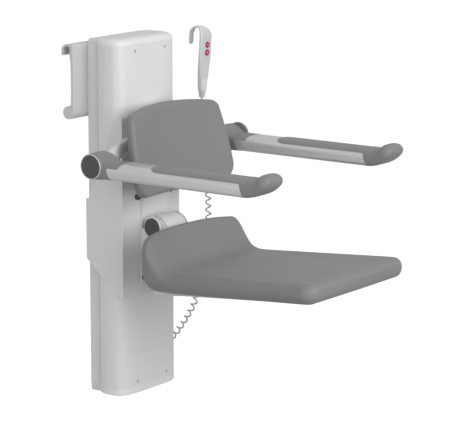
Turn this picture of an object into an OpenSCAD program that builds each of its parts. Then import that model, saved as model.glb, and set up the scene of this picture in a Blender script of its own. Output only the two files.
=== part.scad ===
// Wall-hung shower seat that a motor raises and lowers, with folding seat and armrests.
// Sizes are in millimetres. X runs to the right of someone who faces the seat,
// Y runs back to the wall and Z runs up. The origin is on the flat back of the rail hanger.

/* [Column] */
// Height of the column with both caps
column_h = 965; // [900:5:1100]
// Height of each end cap
cap_h = 18; // [14:1:26]
// Depth of the column from the flat front to the back
column_d = 126; // [116:1:140]
// Largest width of the front cover
cover_w = 251; // [235:1:270]
// How square the front cover's plan is, 2 being an ellipse
cover_square = 4; // [3:0.25:6]
// Depth of the curved part of the front cover
cover_curve_d = 62; // [54:1:70]
// Wall of the front cover
cover_wall = 2.5; // [2:0.5:4]
// Width of the back housing
housing_w = 216; // [196:1:224]
// Depth of the back housing
housing_d = 34; // [28:1:40]
// Wall of the back housing
housing_wall = 3; // [2:0.5:5]
// How square the caps' plan is, which stands out over the cover's corners
cap_square = 5.5; // [4:0.25:8]
// Rounding of the top cap's edges
cap_round = 14; // [6:1:16]
// Sideways distance of the cover screws from the middle
screw_x = 63.6; // [50:0.2:80]
// Distance of the cover screws from the column's ends
screw_end = 34; // [30:1:45]

/* [Lift] */
// Radius of the guide rods
rod_r = 10; // [8:0.5:12]
// Sideways distance of the guide rods from the middle
rod_x = 70; // [60:1:76]
// Travel of the carriage downwards from the drawn height
lift_down = 235; // [150:5:240]
// Travel of the carriage upwards from the drawn height
lift_up = 155; // [80:5:160]
// Outer radius of the actuator's tube
tube_r = 22; // [20:0.5:26]
// Radius of the actuator's piston
piston_r = 15; // [12:0.5:16]
// Height of each inner beam of the carriage
beam_h = 36; // [28:1:44]
// Thickness of the carriage cover
shell_t = 3; // [2.5:0.5:4]
// Width of the carriage cover at its front
shell_front_w = 249; // [246:1:254]
// Width of the carriage cover at its back
shell_back_w = 271; // [268:1:280]
// Height of the carriage cover
shell_h = 488; // [440:2:520]
// Height of the upright back edge of the carriage cover's sides
shell_back_h = 160; // [120:2:200]

/* [Spine and hinge] */
// Width of the spine bracket
spine_w = 108; // [96:1:120]
// How far the spine bracket stands out of the carriage cover
spine_d = 23; // [18:0.5:28]
// Height of the seat hinge over the column's foot
hinge_z = 460; // [450:1:470]
// Distance of the seat hinge in front of the column
hinge_y = 50; // [46:0.5:54]
// Radius of the hinge drum
drum_r = 30; // [29:0.5:34]
// Radius of the hinge pin
hinge_pin_r = 12; // [9:0.5:14]
// Thickness of each hinge cheek
cheek_t = 5; // [4:0.5:10]

/* [Seat] */
// Half of the seat pad's width at the back
seat_back_hw = 214; // [195:1:217]
// Half of the seat pad's width at the front
seat_front_hw = 224; // [210:1:226]
// Length of the seat pad along its middle
seat_len = 583; // [520:1:620]
// Thickness of the seat pad
seat_t = 52; // [42:1:56]
// Rise of the seat towards its front, per millimetre
seat_rise = 0.072; // [0.03:0.002:0.09]
// Height of the lip over the seat's surface
lip_h = 96; // [60:1:98]
// Thickness of the lip from back to front at its top
lip_flat = 33; // [24:1:40]
// Length of the hollow slope from the lip down to the seat
lip_slope = 118; // [90:2:140]
// How much lower the lip is at its ends than in its middle
lip_arch = 12; // [0:1:20]
// Radius of the underside where the pad bends up into its lip
seat_bend = 75; // [50:1:80]
// Rounding of the seat pad's edges
seat_round = 34; // [22:1:38]
// Rounding of the seat pad's front corners, seen from above
seat_corner = 40; // [30:1:60]
// Rounding of the seat pad's rear corners, seen from above
seat_rear_corner = 46; // [30:1:60]
// Crown of the seat pad's top
seat_crown = 4; // [2:0.5:8]
// Thickness of the pan under the seat pad
pan_t = 5; // [3:0.5:8]

/* [Backrest] */
// Half of the backrest's width near its foot
back_hw = 212; // [200:1:220]
// Half of the backrest's width near its top
back_top_hw = 189; // [180:1:200]
// Height of the backrest along its sides
back_h = 211; // [190:1:216]
// Thickness of the backrest
back_t = 30; // [24:1:36]
// How far the backrest's sides curve forward
back_curve = 37; // [20:1:40]
// Forward lean of the backrest's foot, per millimetre
back_lean = 0.19; // [0.1:0.01:0.22]
// Height of the backrest's middle over the column's foot
back_z = 672; // [666:1:676]
// Rise of the backrest's top edge towards its middle
back_crown = 14; // [8:1:24]
// Rounding of the backrest's top corners, seen from the front
back_corner = 15; // [12:1:40]
// Rounding of the backrest's lower corners, seen from the front
back_low_corner = 46; // [36:1:66]

/* [Armrests] */
// Sideways distance of each armrest's middle
arm_x = 278; // [276:1:290]
// Half of the armrest's width
arm_hw = 46; // [40:0.5:46]
// Height of the armrest's pivot over the column's foot
arm_z = 664.5; // [656:0.5:672]
// Distance of the armrest's pivot in front of the column
arm_y = 62; // [56:1:70]
// Distance from the pivot to the front end of the metal profile
arm_len = 470; // [420:1:500]
// Radius of the grey pivot cover
hub_r = 35; // [33:0.5:37]
// Radius of the armrest's pivot pin
arm_pin_r = 10; // [8:0.5:12]
// Length of the pad on the armrest
arm_pad_len = 296; // [250:1:320]
// Height of the armrest pad over the profile
arm_pad_t = 3; // [2:0.5:5]

/* [Rail hanger] */
// Width of the hanger
hanger_w = 340; // [300:2:400]
// Height of the hanger
hanger_h = 200; // [180:1:220]
// Thickness of the hanger's web at its middle
web_t = 7; // [5:0.5:9]
// Depth of the hook over the rail
hook_d = 27; // [24:0.5:34]
// Radius of the bead at the hanger's foot
bead_r = 17.5; // [14:0.5:20]

/* [Hand control] */
// Width of the hand control at its buttons
hand_w = 50; // [42:1:54]
// Thickness of the hand control's grip
hand_t = 22; // [20:1:26]
// Length of the hand control's body
hand_len = 155; // [140:1:170]
// Radius of each button
button_r = 9; // [7:0.5:10]
// Travel of each button
button_travel = 1.2; // [0.8:0.1:1.6]
// Gap inside the hand control's hook
hand_hook_gap = 39; // [30:1:44]

/* [Curly cord] */
// Diameter of the cord
cord_d = 4.8; // [3.6:0.1:5.2]
// Diameter of the curls at the middle of the cord
curl_d = 14; // [12:0.5:15]
// Number of curls
curls = 38; // [30:1:44]

/* [Hidden] */
$fn = 64;

// Clearances that the fits share
gap = 0.3;
run_gap = 0.04;
screw_r = 2.5;

// Column
back_y = column_d - 4;
cover_a = cover_w/2;
cover_y = cover_curve_d - 4;
lip_x = cover_a - 8;
lip_y = cover_y + 22;
slot_gap = 1.5;
house_x = housing_w/2;
house_y = back_y - housing_d;
body_h = column_h - 2*cap_h;
bulk_t = 8;
bulk_low_z = cap_h + 11;
bulk_top_z = column_h - cap_h - 3 - bulk_t;
rod_y = 58;
tab_w = 16;
tab_h = 12;

// Carriage heights and planes
shell_top_z = 760;
shell_low_z = shell_top_z - shell_h;
shell_y = 9.5;
shell_edge_y = 4.4;
shell_back_y = back_y - 12;
shell_back_low = shell_low_z + 100;
beam_top_z = bulk_top_z - lift_up - 14 - beam_h;
beam_low_z = 300;
beam_hw = 94;
arm_bar_z = [358, 548];
arm_bar_h = 24;
arm_slot_y0 = lip_y + slot_gap;
arm_slot_y1 = house_y - slot_gap;
bush_r = rod_r + 4;
tube_y = 55;
tube_foot_z = bulk_low_z + bulk_t;
tube_top_z = beam_top_z - lift_down - 4;
piston_low_z = tube_foot_z + 20 + lift_down + 6;
stud_r = 8;
nut_h = 9;

// Spine and hinge
spine_hw = spine_w/2;
spine_y = shell_y + spine_d;
spine_top_z = 792;
spine_foot_z = 297;
spine_thin = 4;
spine_curve_z = 478;
spine_curve_h = 88;
cheek_x = spine_hw - cheek_t;
drum_hw = cheek_x - 0.5;
eye_r = drum_r - 1;
cheek_low_z = 338;
hub_cap_r = 25.8;
bush_wall = 3;
stop_z = 322;
stop_t = 10;

// Seat
seat_rear_y = 97;
rear_sag = 18;
front_sag = 3;
lip_power = [1.25, 3.6];
seat_foot_z = 320;
plate_t = 8;
foot_len = 420;
heel_y = shell_y + spine_thin + stop_t + gap;
pan_hw = 150;
pan_back = 130;
pan_front = 600;
pan_screw_x = 100;
pan_screw_y = [200, 540];

// Backrest
back_round = 14;
back_top_y = 50;
back_sink = 5;

// Armrest
arm_low = 18;
arm_up = 24;
arm_mid_z = arm_z - 12.5;
cut_slope = 0.39;
cover_front_y = arm_y + 49;
profile_front_y = arm_y + arm_len;
cavity_hw = 34;
cavity_h = 24;
barrel_r = 20;
collar_x = arm_x - arm_hw - gap;
collar_r = 33;
disc_r = 30.5;
ring_r = 32.6;
tip_bend = 40;

// Hanger
hang_y = back_y;
web_back_y = hang_y + web_t;
rail_z = 849;
hanger_low_z = rail_z - hanger_h/2;
hook_t = 6;
web_flare = 3.4;

// Hand control
hand_tilt = 3;
strap_t = 5;
strap_w = 20;
blade_t = 13;
strap_drop = 28;
relief_len = 20;
relief_r = 10;
cord_start = [410, 130, 740];
hand_at = cord_start - [0, hand_t/2*cos(hand_tilt) + relief_len*sin(hand_tilt),
    hand_t/2*sin(hand_tilt) - relief_len*cos(hand_tilt)];
panel_t = 1.4;
panel_low = 34;
button_z = [132, 110];
button_top = 1.6;
pocket_d = 5;

// Curly cord: the route of its middle, from the hand control to the gland
gland_z = 45;
gland_len = 14;
gland_r = 9;
gland_y = house_y + housing_d/2 + 1;
cord_end = [house_x + gland_len, gland_y, gland_z];
route = [cord_start, cord_start + [0, 1, -20], [411, 123, 640], [409, 113, 545], [408, 107, 450],
    [406, 105, 390], [397, 105, 320], [377, 105, 240], [347, 105, 172], [306, 105, 128], [262, 105, 96],
    [222, 105, 74], [184, 105, 56], [150, cord_end[1], 47], cord_end + [12, 0, 0], cord_end];

// Shapes that several pieces use

function spow(v, e) = sign(v)*pow(abs(v), e);
function ease(t) = let (u = min(1, max(0, t))) (1 - cos(180*u))/2;
function mean(pts) = [for (k = [0:2]) let (s = [for (p = pts) p[k]]) s*[for (v = s) 1]/len(s)];
function loop(n) = [for (i = [0:n-1]) 360*i/n];

// Points along an arc about a centre, from one angle to another, with n steps
function arc_at(c, r, a0, a1, n) = [for (i = [0:n]) let (a = a0 + (a1 - a0)*i/n) c + r*[cos(a), sin(a)]];

// How far a rounded edge of radius r draws in at a distance from its end
function draw_in(d, r) = d < r ? r - sqrt(r*r - (r - d)*(r - d)) : 0;

// Flat pad's section, wide in x, with round corners and three more points along each long side
function pad_section(hw, ht, r) = let (m = 6, c = min(r, ht - 0.1), w = hw - c, h = ht - c,
    arc = function (q) [for (i = [0:m]) let (a = 90*q + 90*i/m) [(q == 0 || q == 3 ? w : -w) + c*cos(a),
        (q < 2 ? h : -h) + c*sin(a)]])
    concat(arc(0), [for (k = [0.5, 0, -0.5]) [k*w, ht]], arc(1), arc(2),
        [for (k = [-0.5, 0, 0.5]) [k*w, -ht]], arc(3));

// Closed solid through rings of equal length, each counterclockwise seen from the next ring's side.
// Its ends are fans about their middles or, for flat pads with bent ends, strips from edge to edge.
module skin(rings, strips = false) {
    n = len(rings[0]);
    m = len(rings);
    points = concat([for (r = rings) each r], strips ? [] : [mean(rings[0]), mean(rings[m-1])]);
    sides = [for (j = [0:m-2], i = [0:n-1]) let (a = j*n + i, b = j*n + (i+1)%n, c = b + n, d = a + n)
        each [[a, d, c], [a, c, b]]];
    strip = [for (i = [0:n/2-2]) each [[n-1-i, i, i+1], [n-1-i, i+1, n-2-i]]];
    first = strips ? strip : [for (i = [0:n-1]) [m*n, i, (i+1)%n]];
    last = strips ? [for (f = strip) [for (k = [2, 1, 0]) (m-1)*n + f[k]]]
        : [for (i = [0:n-1]) [m*n + 1, (m-1)*n + (i+1)%n, (m-1)*n + i]];
    polyhedron(points, concat(sides, first, last), convexity = 8);
}

// Solid with a plan in X and Y, from z0 up by h
module upright(points, z0, h) {
    translate([0, 0, z0]) linear_extrude(h) polygon(points);
}

// Plate with its outline in Y and Z, from x0 to the right by w
module side_plate(points, x0, w) {
    translate([x0, 0, 0]) rotate([90, 0, 90]) linear_extrude(w) polygon(points);
}

// Round bar along X
module bar_x(x0, y, z, r, w) {
    translate([x0, y, z]) rotate([0, 90, 0]) cylinder(h = w, r = r);
}

module both_sides() {
    children();
    mirror([1, 0, 0]) children();
}

// Moves a piece from the column's own place to the hanger's back
module hung() {
    translate([0, -web_back_y, -rail_z]) children();
}

// Column

// Curved plan of the column's front, inset and squared as given, from its left back edge to its right one
function cover_arc(inset, n, square) = [for (i = [0:n]) let (t = 180 + 180*i/n, e = 2/square)
    [(cover_a - inset)*spow(cos(t), e), cover_y + (cover_curve_d - inset)*spow(sin(t), e)]];

function cap_plan(inset, n) = concat(cover_arc(inset, n, cap_square), [[lip_x - inset, lip_y],
    [house_x - inset, house_y], [house_x - inset, back_y - inset], [-house_x + inset, back_y - inset],
    [-house_x + inset, house_y], [-lip_x + inset, lip_y]]);

module screw_spots() {
    for (x = [-screw_x, screw_x], z = [screw_end, column_h - screw_end])
        translate([x, 0, z]) rotate([90, 0, 0]) children();
}

module back_housing() {
    w = housing_wall;
    inner = house_x - w;
    color("gainsboro") hung() difference() {
        upright([[-house_x, house_y], [-inner, house_y], [-inner, back_y - w], [inner, back_y - w],
            [inner, house_y], [house_x, house_y], [house_x, back_y], [-house_x, back_y]], cap_h, body_h);
        for (x = [-house_x*0.6, house_x*0.6], z = [-hanger_h*0.28, hanger_h*0.28])
            translate([x, back_y + 1, rail_z + z]) rotate([90, 0, 0]) cylinder(h = w + 2, r = screw_r + gap);
        bar_x(inner - 1, gland_y, gland_z, gland_r - 2, w + 2);
    }
}

module front_cover() {
    n = 48;
    w = cover_wall;
    outer = concat([[-lip_x, lip_y]], cover_arc(0, n, cover_square), [[lip_x, lip_y]]);
    inner = concat([[-lip_x + w, lip_y]], cover_arc(w, n, cover_square), [[lip_x - w, lip_y]]);
    color("whitesmoke") hung() difference() {
        upright(concat(outer, [for (i = [len(inner)-1:-1:0]) inner[i]]), cap_h, body_h);
        screw_spots() translate([0, 0, -cover_curve_d/2]) cylinder(h = cover_curve_d, r = screw_r + gap/2);
    }
}

function cap_ring(inset, z) = [for (p = cap_plan(inset, 30)) [p[0], p[1], z]];

module top_cap() {
    steps = 5;
    z0 = column_h - cap_h;
    flat = cap_h - cap_round;
    color("whitesmoke") hung() skin(concat([cap_ring(0, z0)], [for (i = [0:steps]) let (a = 90*i/steps)
        cap_ring(cap_round*(1 - cos(a)), z0 + flat + cap_round*sin(a))]));
}

module bottom_cap() {
    chamfer = 2;
    color("lightgray") hung() skin([cap_ring(chamfer, 0), cap_ring(0, chamfer), cap_ring(0, cap_h)]);
}

// Level of the curved front cover's outside at the cover screws
function cover_front(x) = cover_y - cover_curve_d*pow(1 - pow(abs(x)/cover_a, cover_square), 1/cover_square);

module cover_screws() {
    head_h = 1.6;
    y = cover_front(screw_x);
    color("dimgray") hung() screw_spots() translate([0, 0, gap - y]) union() {
        cylinder(h = head_h, r = screw_r + 1);
        translate([0, 0, -12]) cylinder(h = 13, r = screw_r);
    }
}

// Bulkhead with its underside at z0, and with a pair of tabs at tab_z that take cover screws
module bulkhead(z0, tab_z) {
    hw = house_x - housing_wall - gap;
    front = cover_front(screw_x) + cover_wall + 1;
    difference() {
        union() {
            translate([-hw, rod_y - 26, z0]) cube([2*hw, back_y - housing_wall - gap - rod_y + 26, bulk_t]);
            both_sides() translate([screw_x - tab_w/2, front, tab_z - tab_h/2])
                cube([tab_w, rod_y - 24 - front, tab_h]);
            both_sides() translate([screw_x - tab_w/2, rod_y - 34, min(z0, tab_z - tab_h/2)])
                cube([tab_w, 10, max(z0 + bulk_t, tab_z + tab_h/2) - min(z0, tab_z - tab_h/2)]);
        }
        both_sides() translate([rod_x, rod_y, z0 - 1]) cylinder(h = bulk_t + 2, r = rod_r);
        both_sides() translate([screw_x, 0, tab_z]) rotate([-90, 0, 0]) cylinder(h = 25, r = screw_r);
    }
}

module top_bulkhead() {
    color("silver") hung() bulkhead(bulk_top_z, column_h - screw_end);
}

module bottom_bulkhead() {
    color("silver") hung() bulkhead(bulk_low_z, screw_end);
}

module guide_rods() {
    color("lightsteelblue") hung() both_sides() translate([rod_x, rod_y, bulk_low_z])
        cylinder(h = bulk_top_z + bulk_t - bulk_low_z, r = rod_r);
}

module actuator_body() {
    motor_w = 56;
    motor_d = 29;
    motor_h = 110;
    gear_h = 19;
    z1 = tube_foot_z + gear_h;
    motor_y = back_y - housing_wall - gap - motor_d;
    color("dimgray") hung() difference() {
        union() {
            translate([-tube_r - 2, tube_y - 24, tube_foot_z])
                cube([2*tube_r + 4, motor_y - tube_y + 26, gear_h]);
            translate([0, tube_y, z1 - 1]) cylinder(h = tube_top_z - z1 + 1, r = tube_r);
            translate([-motor_w/2, motor_y, tube_foot_z]) cube([motor_w, motor_d, gear_h + motor_h]);
        }
        translate([0, tube_y, z1 + 1]) cylinder(h = tube_top_z - z1, r = piston_r + run_gap);
    }
}

module control_box() {
    w = 62;
    h = 170;
    d = 24;
    color("darkslategray") hung()
        translate([-house_x + housing_wall + 8, back_y - housing_wall - gap - d, 120]) difference() {
            cube([w, d, h]);
            translate([w/2, d/2, -1]) cylinder(h = 12, r = 5);
        }
}

// Side view of the hanger: web, hook over the rail and bead
module hanger_profile() {
    top = rail_z + hanger_h/2;
    back = web_back_y + web_flare;
    nose_r = 8;
    hook_r = 17;
    hook_x = back + hook_d;
    hook_drop = 30;
    land = 60;
    blend_h = 36;
    bead = [hang_y + bead_r, hanger_low_z + bead_r];
    meet = 90 + asin((bead[0] - back)/bead_r);
    flare = [for (i = [0:8]) [web_back_y + web_flare*(1 - cos(90*i/8)), land/2 + blend_h*sin(90*i/8)]];
    polygon(concat(
        arc_at([hang_y + nose_r, top - nose_r], nose_r, 180, 90, 6),
        arc_at([hook_x - hook_r, top - hook_r], hook_r, 90, 0, 10),
        [[hook_x, top - hook_drop], [hook_x - hook_t, top - hook_drop]],
        arc_at([hook_x - hook_r, top - hook_r], hook_r - hook_t, 0, 90, 8),
        [[back, top - hook_t]],
        [for (i = [8:-1:0]) [flare[i][0], rail_z + flare[i][1]]],
        [for (p = flare) [p[0], rail_z - p[1]]],
        arc_at(bead, bead_r, meet, -180, 28)));
}

module rail_hanger() {
    color("lightgray") hung() difference() {
        translate([-hanger_w/2, 0, 0]) rotate([90, 0, 90]) linear_extrude(hanger_w) hanger_profile();
        for (x = [-house_x*0.6, house_x*0.6], z = [-hanger_h*0.28, hanger_h*0.28])
            translate([x, hang_y - 1, rail_z + z]) rotate([-90, 0, 0]) {
                cylinder(h = web_t + web_flare + 2, r = screw_r + gap);
                translate([0, 0, web_t - 2]) cylinder(h = web_flare + 6, r = 2*screw_r + gap);
            }
    }
}

module hanger_bolts() {
    color("dimgray") hung() for (x = [-house_x*0.6, house_x*0.6], z = [-hanger_h*0.28, hanger_h*0.28])
        translate([x, hang_y + web_t - 3, rail_z + z]) rotate([90, 0, 0]) {
            cylinder(h = web_t - 3 + housing_wall + 6, r = screw_r);
            translate([0, 0, -2.6]) cylinder(h = 2.6, r = 2*screw_r);
            translate([0, 0, web_t - 3 + housing_wall]) cylinder(h = 4, r = 2*screw_r, $fn = 6);
        }
}

module cord_gland() {
    neck_r = gland_r - 2.3;
    inside = housing_wall + 4;
    color("silver") hung() translate([house_x - inside, gland_y, gland_z]) rotate([0, 90, 0])
        rotate_extrude() polygon([[0, 0], [neck_r, 0], [neck_r, inside], [gland_r, inside],
            [gland_r, inside + 4], [gland_r - 1.5, inside + 5], [gland_r - 1.5, inside + 8],
            [cord_d*0.9, inside + gland_len], [0, inside + gland_len]]);
}

// Carriage

// Half width of the carriage cover's outside at a distance behind the column's front
function shell_x(y) = let (k = (y + shell_edge_y)/(shell_back_y + shell_edge_y))
    shell_front_w/2 + (shell_back_w - shell_front_w)/2*k;

module carriage_beam(z0) {
    y0 = rod_y - bush_r - 6;
    difference() {
        translate([-beam_hw, y0, z0]) cube([2*beam_hw, rod_y + bush_r + 4 - y0, beam_h]);
        both_sides() translate([rod_x, rod_y, z0 - 1]) cylinder(h = beam_h + 2, r = bush_r);
        children();
    }
}

// Bar that reaches out through the column's slots to the cover's sides
module carriage_arm(z0) {
    x0 = shell_x(arm_slot_y0) - shell_t - gap;
    x1 = shell_x(arm_slot_y1) - shell_t - gap;
    upright([[-x0, arm_slot_y0], [x0, arm_slot_y0], [x1, arm_slot_y1], [-x1, arm_slot_y1]], z0, arm_bar_h);
}

module carriage_frame() {
    bar_w = 22;
    bar_y = rod_y + bush_r;
    color("slategray") hung() union() {
        carriage_beam(beam_low_z) translate([0, tube_y, beam_low_z - 1])
            cylinder(h = beam_h + 2, r = tube_r + 3);
        carriage_beam(beam_top_z) translate([0, tube_y, beam_top_z - 1])
            cylinder(h = beam_h + 2, r = stud_r + gap);
        both_sides() translate([tube_r + 8, bar_y, beam_low_z])
            cube([bar_w, arm_slot_y1 - bar_y, beam_top_z + beam_h - beam_low_z]);
        for (z = arm_bar_z) carriage_arm(z);
    }
}

module slide_bushes() {
    color("ivory") hung() both_sides() for (z = [beam_low_z, beam_top_z]) translate([rod_x, rod_y, z])
        difference() {
            cylinder(h = beam_h, r = bush_r);
            translate([0, 0, -1]) cylinder(h = beam_h + 2, r = rod_r + run_gap);
        }
}

module actuator_piston() {
    color("lightsteelblue") hung() translate([0, tube_y, 0]) union() {
        translate([0, 0, piston_low_z]) cylinder(h = beam_top_z - piston_low_z, r = piston_r);
        translate([0, 0, beam_top_z - 1]) cylinder(h = beam_h + nut_h + 3, r = stud_r);
    }
}

module piston_nut() {
    color("dimgray") hung() translate([0, tube_y, beam_top_z + beam_h]) difference() {
        cylinder(h = nut_h, r = 2*stud_r, $fn = 6);
        translate([0, 0, -1]) cylinder(h = nut_h + 2, r = stud_r);
    }
}

module carriage_cover() {
    xf = shell_front_w/2;
    xb = shell_back_w/2;
    t = shell_t;
    plan = [[-xb, shell_back_y], [-xf, -shell_edge_y], [-spine_hw - 4, -shell_y], [spine_hw + 4, -shell_y],
        [xf, -shell_edge_y], [xb, shell_back_y], [xb - t, shell_back_y], [xf - t, -shell_edge_y + t],
        [spine_hw + 4, -shell_y + t], [-spine_hw - 4, -shell_y + t], [-xf + t, -shell_edge_y + t],
        [-xb + t, shell_back_y]];
    nose = 8;
    corner = [for (i = [0:6]) let (a = 90 - 65*i/6) [nose + 9*cos(a), shell_top_z - 9 + 9*sin(a)]];
    side = concat([[-2*shell_y, shell_low_z], [nose - 4, shell_low_z], [shell_back_y + 1, shell_back_low],
        [shell_back_y + 1, shell_back_low + shell_back_h]], [for (i = [6:-1:0]) corner[i]],
        [[-2*shell_y, shell_top_z]]);
    color("gainsboro") hung() intersection() {
        upright(plan, shell_low_z, shell_h);
        side_plate(side, -shell_back_w, 2*shell_back_w);
    }
}

// Depth of the spine's front surface in front of the column, by height
function spine_front(z) = let (k = ease((z - spine_curve_z)/spine_curve_h))
    shell_y + spine_thin + (spine_d - spine_thin)*k;

module spine_bracket() {
    n = 10;
    curve = [for (i = [0:n]) let (z = spine_curve_z + spine_curve_h*i/n) [-spine_front(z), z]];
    body = concat([[-shell_y, spine_foot_z], [-shell_y, spine_top_z - spine_d*0.9], [-spine_y, spine_top_z]],
        [for (i = [n:-1:0]) curve[i]], [[-shell_y - spine_thin, spine_foot_z]]);
    root_y = -shell_y - spine_thin + 1;
    cheek_top = hinge_z - 6;
    cheek = [[root_y, cheek_top], [-hinge_y + eye_r, cheek_top], [-hinge_y, hinge_z],
        [-hinge_y - eye_r*cos(30), hinge_z - eye_r*sin(30)], [root_y, cheek_low_z]];
    color("white") hung() difference() {
        union() {
            side_plate(body, -spine_hw, spine_w);
            both_sides() side_plate(cheek, cheek_x, cheek_t);
            both_sides() bar_x(cheek_x, -hinge_y, hinge_z, eye_r, cheek_t);
        }
        bar_x(-spine_hw - 1, -hinge_y, hinge_z, hinge_pin_r, spine_w + 2);
    }
}

module hinge_pin() {
    color("silver") hung() bar_x(-spine_hw, -hinge_y, hinge_z, hinge_pin_r, spine_w);
}

module hinge_caps() {
    color("dimgray") hung() both_sides() translate([spine_hw, -hinge_y, hinge_z]) rotate([0, 90, 0])
        rotate_extrude() polygon([[0, 0], [hub_cap_r + 1.5, 0], [hub_cap_r + 1.5, 1.6], [hub_cap_r, 2.2],
            [hub_cap_r - 0.6, 1.6], [0, 1.8]]);
}

module seat_stop() {
    x = drum_hw - plate_t/2;
    color("black") hung() both_sides() translate([x, -shell_y - spine_thin, stop_z]) rotate([90, 0, 0])
        rotate_extrude() polygon([[0, 0], [9, 0], [7, stop_t], [0, stop_t]]);
}

// Swept arm that stays behind the backrest's side and ends in a round collar
module arm_horn() {
    n = 10;
    x0 = spine_hw;
    x1 = collar_x - 7;
    z0 = spine_top_z - 86;
    root = [13.5, 31.5];
    end = [arm_y - collar_r, arm_y + 12];
    rings = [for (k = [0:n]) let (t = k/n, x = x0 + (x1 - x0)*t, s = pow(t, 1.6),
        back = root[0] + (end[0] - root[0])*s, front = root[1] + (end[1] - root[1])*s,
        mid = (front + back)/2, a = (front - back)/2, b = 17 + (collar_r - 19)*ease(t), q = 2/(3.4 - s))
        [for (f = loop(24)) [x, -mid + a*spow(cos(f), q), z0 + (arm_z - z0)*s + b*spow(sin(f), q)]]];
    difference() {
        union() {
            skin(rings);
            bar_x(x1 - 1, -arm_y, arm_z, collar_r, 8);
        }
        bar_x(x1 - 24, -arm_y, arm_z, arm_pin_r, 40);
    }
}

module right_arm_horn() {
    color("white") hung() arm_horn();
}

module left_arm_horn() {
    color("white") hung() mirror([1, 0, 0]) arm_horn();
}

module arm_pin() {
    bar_x(collar_x - 31, -arm_y, arm_z, arm_pin_r, 31 + 2*arm_hw - 6);
}

module right_arm_pin() {
    color("silver") hung() arm_pin();
}

module left_arm_pin() {
    color("silver") hung() mirror([1, 0, 0]) arm_pin();
}

// Backrest

// Depth of the backrest's middle surface in front of the column
function back_depth(x, z) = back_top_y + back_lean*(back_z + back_h/2 - z) + back_curve*pow(x/back_hw, 2);

// Ring of the backrest at a distance over its foot
function back_ring(d) = let (t = d/back_h, up = back_h - d,
    hw = back_hw + (back_top_hw - back_hw)*t*t - draw_in(d, back_low_corner) - draw_in(up, back_corner),
    ht = back_t/2 - draw_in(min(d, up) + 0.4, back_round))
    [for (p = pad_section(hw, ht, back_round)) let (x = p[0], u = 1 - pow(x/back_top_hw, 2),
        bulge = back_crown*t*t - back_sink*(1 - t)*(1 - t), z = back_z - back_h/2 + d + u*bulge)
        [x, p[1] - back_depth(x, z), z]];

module backrest_pad() {
    ends = [0, 0.02, 0.07, 0.15, 0.3, 0.5, 0.75, 1];
    low = back_low_corner;
    top = max(back_corner, back_round + 6);
    color("gray") hung() skin(concat([for (k = ends) back_ring(low*k)],
        [for (k = [1:2]) back_ring(low + (back_h - low - top)*k/3)],
        [for (i = [len(ends)-1:-1:0]) back_ring(back_h - top*ends[i])]), true);
}

module backrest_mount() {
    hw = 42;
    z0 = 606;
    z1 = 770;
    rest = back_t/2 + gap;
    color("gainsboro") hung() side_plate([[-spine_y, z0], [-spine_y, z1], [-back_depth(0, z1) + rest, z1],
        [-back_depth(0, z0) + rest, z0]], -hw, 2*hw);
}

// Seat

function seat_under(y) = seat_foot_z + seat_rise*(y - seat_rear_y);

// Share of the lip's height at a distance from the pad's back, round at its top and long at its foot
function lip(s) = let (k = min(1, max(0, (s - lip_flat)/lip_slope)))
    pow(1 - pow(k, lip_power[0]), lip_power[1]);

// Half width of the seat pad at a distance from its back
function seat_hw(s) = seat_back_hw + (seat_front_hw - seat_back_hw)*s/seat_len
    - draw_in(seat_len - s, seat_corner) - draw_in(s, seat_rear_corner);

// Ring of the seat pad at a distance from its back
function seat_ring(s) = let (t = s/seat_len, front = seat_len - s, rear_r = 16, nose = seat_t/2,
    hw = seat_hw(s), h = (seat_t + lip_h*lip(s))/2, ht = h - draw_in(s, rear_r) - draw_in(front + 1, nose))
    [for (p = pad_section(hw, ht, min(seat_round, ht))) let (u = abs(p[0]/hw),
        y = seat_rear_y + s + rear_sag*u*u*(1 - t)*(1 - t) - front_sag*u*u*t*t,
        crown = seat_crown*(1 - u*u)*min(1, s/40)*min(1, front/60) - lip_arch*lip(s)*pow(u, 3),
        lift = p[1] > 0 ? crown : draw_in(s, seat_bend)) [p[0], -y, seat_under(y) + h + p[1] + lift]];

module seat_pad() {
    rear = [0, 2, 5, 10, 16, 24, lip_flat, lip_flat + 5, lip_flat + 11];
    slope = [for (k = [0.14, 0.2, 0.27, 0.36, 0.48, 0.65, 1]) lip_flat + lip_slope*k];
    flat = [for (k = [0.25, 0.5, 0.75]) seat_len*k + (1 - k)*(lip_flat + lip_slope)];
    front = [for (d = [60, 44, 30, 20, 12, 6, 2, 0]) seat_len - d];
    color("gray") hung() skin([for (s = concat(rear, slope, flat, front)) seat_ring(s)], true);
}

// Level of the pan's underside
function pan_low(y) = seat_under(y) - gap - pan_t;

module seat_pan() {
    rim = 10;
    back_low = pan_low(pan_back);
    front_low = pan_low(pan_front);
    color("silver") hung() difference() {
        union() {
            side_plate([[-pan_back, back_low], [-pan_front, front_low], [-pan_front, front_low + pan_t],
                [-pan_back, back_low + pan_t]], -pan_hw, 2*pan_hw);
            both_sides() side_plate([[-pan_back, back_low - rim], [-pan_front, front_low - rim/2],
                [-pan_front, front_low + 1], [-pan_back, back_low + 1]], pan_hw - pan_t, pan_t);
        }
        pan_screw_spots() translate([0, 0, -pan_t]) cylinder(h = 3*pan_t, r = screw_r + gap);
    }
}

// Places of the screws that hold the pad on its pan, at the pan's underside
module pan_screw_spots() {
    for (x = [-pan_screw_x, pan_screw_x], y = pan_screw_y)
        translate([x, -y, pan_low(y)]) children();
}

module pan_screws() {
    head_h = 3;
    color("dimgray") hung() pan_screw_spots() {
        translate([0, 0, -4*gap - head_h]) cylinder(h = head_h + 2*gap, r = 2*screw_r);
        translate([0, 0, -1]) cylinder(h = pan_t + 1, r = screw_r);
    }
}

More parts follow.
